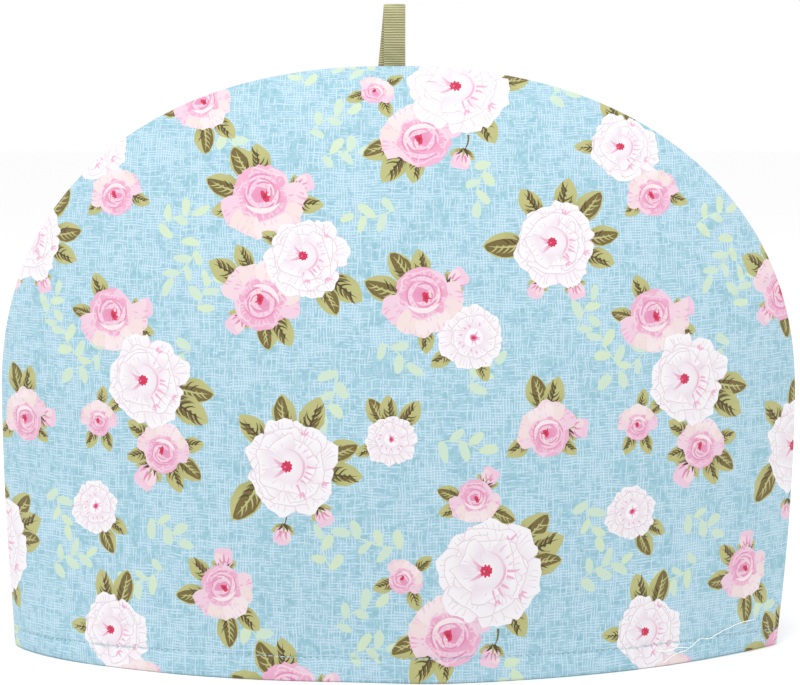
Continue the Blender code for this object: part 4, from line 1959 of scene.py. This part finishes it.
@dataclass
class LooseThread:
    """A loose end of white thread that lies across the hem, drawn as a fine tube."""

    name: str
    surface: PanelSurface
    route: tuple[tuple[float, float], ...]
    thickness: float = 0.00036
    steps: int = 9
    sides: int = 6
    probe: float = 0.001
    end_taper: float = 0.35
    rest_lift: float = 0.55
    hump_lift: float = 0.9
    hump_beat: float = 0.55

    def smooth_route(self) -> Array:
        """Return the route as a smooth curve through its points, on the flat cloth."""
        points = np.array(self.route) * MM
        points = np.concatenate([[2 * points[0] - points[1]], points, [2 * points[-1] - points[-2]]])
        curve = []
        for a, b, c, d in zip(points, points[1:], points[2:], points[3:]):
            for step in range(self.steps):
                f = step / self.steps
                curve.append(0.5 * (2 * b + (c - a) * f + (2 * a - 5 * b + 4 * c - d) * f**2
                                    + (3 * b - a - 3 * c + d) * f**3))
        curve.append(points[-2])
        return np.array(curve)

    def build(self, material: bpy.types.Material) -> bpy.types.Object:
        """Make the thread.

        Args:
            material: the thread's material.

        Returns:
            The finished thread.
        """
        curve = self.smooth_route()
        spots = self.surface.outer(curve[:, 0], curve[:, 1])
        above = self.surface.outer(curve[:, 0], curve[:, 1] + self.probe)
        right = self.surface.outer(curve[:, 0] + self.probe, curve[:, 1])
        shape = bmesh.new()
        ring: list[bmesh.types.BMVert] = []
        for number, (spot, up, over) in enumerate(zip(spots, above, right)):
            normal = Vector(over - spot).cross(Vector(up - spot)).normalized()
            if normal.y * self.surface.side < 0:
                normal.negate()
            ahead = spots[min(number + 1, len(spots) - 1)] - spots[max(number - 1, 0)]
            along = Vector(ahead).normalized()
            across = normal.cross(along).normalized()
            taper = self.end_taper if number in (0, len(spots) - 1) else 1.0
            hump = max(0.0, math.sin(number * self.hump_beat)) ** 3
            lift = self.thickness * (self.rest_lift + self.hump_lift * hump)
            centre = Vector(spot) + normal * lift
            new = []
            for corner in range(self.sides):
                angle = 2 * math.pi * corner / self.sides
                off = (across * math.cos(angle) + normal * math.sin(angle)) * self.thickness / 2 * taper
                new.append(shape.verts.new(centre + off))
            if ring:
                for corner in range(self.sides):
                    nxt = (corner + 1) % self.sides
                    shape.faces.new((ring[corner], ring[nxt], new[nxt], new[corner]))
            else:
                shape.faces.new(list(reversed(new)))
            ring = new
        shape.faces.new(ring)
        bmesh.ops.recalc_face_normals(shape, faces=shape.faces[:])
        return finished_piece(self.name, mesh_of(shape, self.name), (material,), CLOTH_SLOT)


@dataclass
class RibbonLoop:
    """A folded length of grosgrain ribbon with both ends in the seam, from the same sizes as its solid."""

    width: float = 0.0085
    thickness: float = 0.0009
    top: float = 0.2592
    root: float = 0.2346
    centre_x: float = -0.0015
    eye_depth: float = 0.0054
    neck: float = 0.42
    bend: float = 0.80
    crowding: float = 0.70
    tail: float = 0.0036
    tail_gap: float = 0.0003
    drift: float = -0.0023
    solid_thickness: float = 0.0010
    rib_pitch: float = 0.00098
    rib_depth: float = 0.00013
    steps_per_rib: int = 6
    columns: int = 14

    def route(self) -> Array:
        """Return the ribbon's middle line, as y and z, from its front end to its back end."""
        tail_y = (self.solid_thickness + self.tail_gap) / 2
        height = self.top - self.solid_thickness / 2 - self.root
        half_depth = (self.eye_depth + self.solid_thickness) / 2
        turn = np.linspace(0, np.pi, 121)
        rise = np.sin(turn) ** self.crowding
        swell = (1 - np.cos(np.pi * np.minimum(rise / self.neck, 1))) / 2
        into = np.clip((rise - self.bend) / (1 - self.bend), 0, 1)
        y = (tail_y + (half_depth - tail_y) * swell) * np.sqrt(1 - into**2)
        loop = np.stack([np.where(turn < np.pi / 2, -y, y), self.root + height * rise], axis=1)
        front = [(-tail_y, self.root - self.tail)]
        back = [(tail_y, self.root - self.tail)]
        return np.concatenate([front, loop, back])

    def build(self, material: bpy.types.Material) -> bpy.types.Object:
        """Make the loop: a pad of two layers of grid, laid along the route.

        Args:
            material: the ribbon's material.

        Returns:
            The finished loop.
        """
        route = self.route()
        run = np.concatenate([[0], np.cumsum(np.hypot(*np.diff(route, axis=0).T))])
        total = float(run[-1])
        rows = int(total / self.rib_pitch * self.steps_per_rib)
        shape = bmesh.new()
        cloth_layer = shape.loops.layers.uv.new(CLOTH_MAP)
        bmesh.ops.create_grid(shape, x_segments=self.columns, y_segments=rows, size=1.0)
        for face in shape.faces:
            for loop in face.loops:
                loop[cloth_layer].uv = (loop.vert.co.x * self.width / 2, (loop.vert.co.y + 1) / 2 * total)
        pad = bmesh.ops.extrude_face_region(shape, geom=shape.faces[:], use_keep_orig=True)
        inner = {item for item in pad["geom"] if isinstance(item, bmesh.types.BMVert)}
        for vert in shape.verts:
            across, along = vert.co.x, (vert.co.y + 1) / 2 * total
            layer = -1 if vert in inner else 1
            vert.co = self.point(route, run, across, along, layer)
        bmesh.ops.recalc_face_normals(shape, faces=shape.faces[:])
        mesh = mesh_of(shape, "grosgrain_loop")
        LOG.info("the ribbon is %.1f mm long", total / MM)
        return finished_piece("grosgrain_loop", mesh, (material,), RIBBON_SLOT, "ribbon_loop")

    def point(self, route: Array, run: Array, across: float, along: float, layer: int) -> Vector:
        """Return a place on the ribbon.

        Args:
            route: the middle line.
            run: the distance along it at each of its points.
            across: from -1 to 1 across the ribbon.
            along: the distance along the ribbon.
            layer: 1 for its outer face and -1 for its inner face.

        Returns:
            The place.
        """
        step = 0.0004
        y, z = (float(np.interp(along, run, route[:, i])) for i in (0, 1))
        y0, z0 = (float(np.interp(along - step, run, route[:, i])) for i in (0, 1))
        y1, z1 = (float(np.interp(along + step, run, route[:, i])) for i in (0, 1))
        size = math.hypot(y1 - y0, z1 - z0)
        normal_y, normal_z = -(z1 - z0) / size, (y1 - y0) / size
        wave = 0.10 * math.sin(across * 2.6 + along * 900) * self.rib_pitch
        rib = math.cos(2 * math.pi * (along + wave) / self.rib_pitch)
        edge = math.sqrt(max(1 - max((abs(across) - 0.86) / 0.14, 0.0) ** 2, 0.0))
        half = (self.thickness / 2 - self.rib_depth + self.rib_depth * rib) * (0.35 + 0.65 * edge)
        drop = (self.top - z) / (self.top - self.root)
        drift = self.drift * drop if y > 0 else 0.0
        ragged = 1 + 0.012 * rib * (abs(across) > 0.99)
        x = self.centre_x + across * self.width / 2 * ragged + drift
        return Vector((x, y + normal_y * half * layer, z + normal_z * half * layer))


@dataclass
class Studio:
    """The camera, the lights and the pale floor with its painted shadow."""

    distance: float = 1.0
    eye_height: float = 0.234
    pitch: float = 0.1097
    lens_pixels: float = 2497.0
    frame_width: float = 800.0
    shift_pixels: float = 1.6
    sensor: float = 36.0
    key_place: tuple[float, float, float] = (-0.18, -0.62, 1.35)
    key_aim: tuple[float, float, float] = (0.0, 0.0, 0.1)
    key_size: float = 0.9
    key_power: float = 8.8
    floor_half: float = 6.0

    def build(self) -> None:
        """Make the camera, the world, the lights and the floor."""
        scene = bpy.context.scene
        scene.view_settings.view_transform = "Standard"
        self.camera(scene)
        self.world(scene)
        self.key_light(scene)
        self.floor(scene)

    def camera(self, scene: bpy.types.Scene) -> None:
        """Set the camera where the photograph's was."""
        data = bpy.data.cameras.new("camera")
        data.sensor_width = self.sensor
        data.lens = self.lens_pixels / self.frame_width * self.sensor
        data.shift_x = self.shift_pixels / self.frame_width
        data.clip_start = 0.05
        camera = bpy.data.objects.new("camera", data)
        camera.location = (0.0, -self.distance, self.eye_height)
        camera.rotation_euler = (math.pi / 2 - self.pitch, 0.0, 0.0)
        scene.collection.objects.link(camera)
        scene.camera = camera

    def world(self, scene: bpy.types.Scene) -> None:
        """Light everything softly from all round."""
        world = bpy.data.worlds.new("white_room")
        world.use_nodes = True
        background = world.node_tree.nodes["Background"]
        background.inputs["Color"].default_value = (1.0, 1.0, 1.0, 1.0)
        background.inputs["Strength"].default_value = 1.0
        scene.world = world

    def key_light(self, scene: bpy.types.Scene) -> None:
        """Add a soft square light that faces the cosy."""
        data = bpy.data.lights.new("key", "AREA")
        data.size = self.key_size
        data.energy = self.key_power
        lamp = bpy.data.objects.new("key", data)
        lamp.location = self.key_place
        towards = Vector(self.key_aim) - Vector(self.key_place)
        lamp.rotation_euler = towards.to_track_quat("-Z", "Y").to_euler()
        scene.collection.objects.link(lamp)

    def floor(self, scene: bpy.types.Scene) -> None:
        """Lay a white floor, greyer in front of the cosy with a painted shadow."""
        shape = bmesh.new()
        bmesh.ops.create_grid(shape, x_segments=1, y_segments=1, size=self.floor_half)
        mesh = mesh_of(shape, "floor")
        mesh.materials.append(FloorFinish().material())
        floor = bpy.data.objects.new("floor", mesh)
        scene.collection.objects.link(floor)


class TeaCosy:
    """The whole cosy: two printed panels, their stitches and loose thread, and the ribbon loop."""

    FRONT = Fullness(left=0.86, right=0.84, left_at_hem=0.66, right_at_hem=0.92)
    BACK = Fullness(left=0.84, right=0.86, left_at_hem=0.84, right_at_hem=0.74)
    BACK_PRINT_SHIFT = 74 + 63j
    CUT = (0.365, 0.275)
    CUT_AREA = 0.0864

    def __init__(self) -> None:
        """Set out the surfaces."""
        form = CosyForm()
        sewing = Sewing()
        self.front = PanelSurface(form, sewing, self.FRONT, -1)
        self.back = PanelSurface(form, sewing, self.BACK, 1)

    def build(self) -> None:
        """Make every piece."""
        pattern = RosePrint()
        cotton = CottonFinish().material()
        reverse = ReverseFinish().material()
        thread = ThreadFinish().material()
        white = ThreadFinish("loose_thread", "FFFFFF", "F2F2EE").material()
        stitches = [
            HemStitches("front_hem_stitches", self.front).build(thread),
            HemStitches("back_hem_stitches", self.back).build(thread),
        ]
        loose = [
            LooseThread("loose_thread_long", self.front, self.long_end()).build(white),
            LooseThread("loose_thread_short", self.front, self.short_end()).build(white),
        ]
        front = PrintedPanel("front_cloth", "front_panel", self.front, 0j).build(pattern, cotton, reverse)
        back = PrintedPanel("back_cloth", "back_panel", self.back, self.BACK_PRINT_SHIFT).build(
            pattern, cotton, reverse)
        loop = RibbonLoop().build(RibbonFinish().material())

    @staticmethod
    def long_end() -> tuple[tuple[float, float], ...]:
        """Return the longer loose thread's route, in millimetres on the front's flat cloth."""
        return ((108.5, 1.5), (114.0, 4.2), (121.5, 6.0), (126.5, 8.8), (132.0, 8.6), (139.5, 10.8),
                (148.0, 12.6), (157.5, 13.2))

    @staticmethod
    def short_end() -> tuple[tuple[float, float], ...]:
        """Return the shorter loose thread's route, in millimetres on the front's flat cloth."""
        return ((104.5, 7.0), (110.0, 6.2), (115.5, 6.9), (121.0, 6.2))


def main() -> None:
    """Build the cosy and its studio."""
    logging.basicConfig(level=logging.INFO, format="%(name)s %(message)s")
    TeaCosy().build()
    Studio().build()


if __name__ == "__main__":
    main()
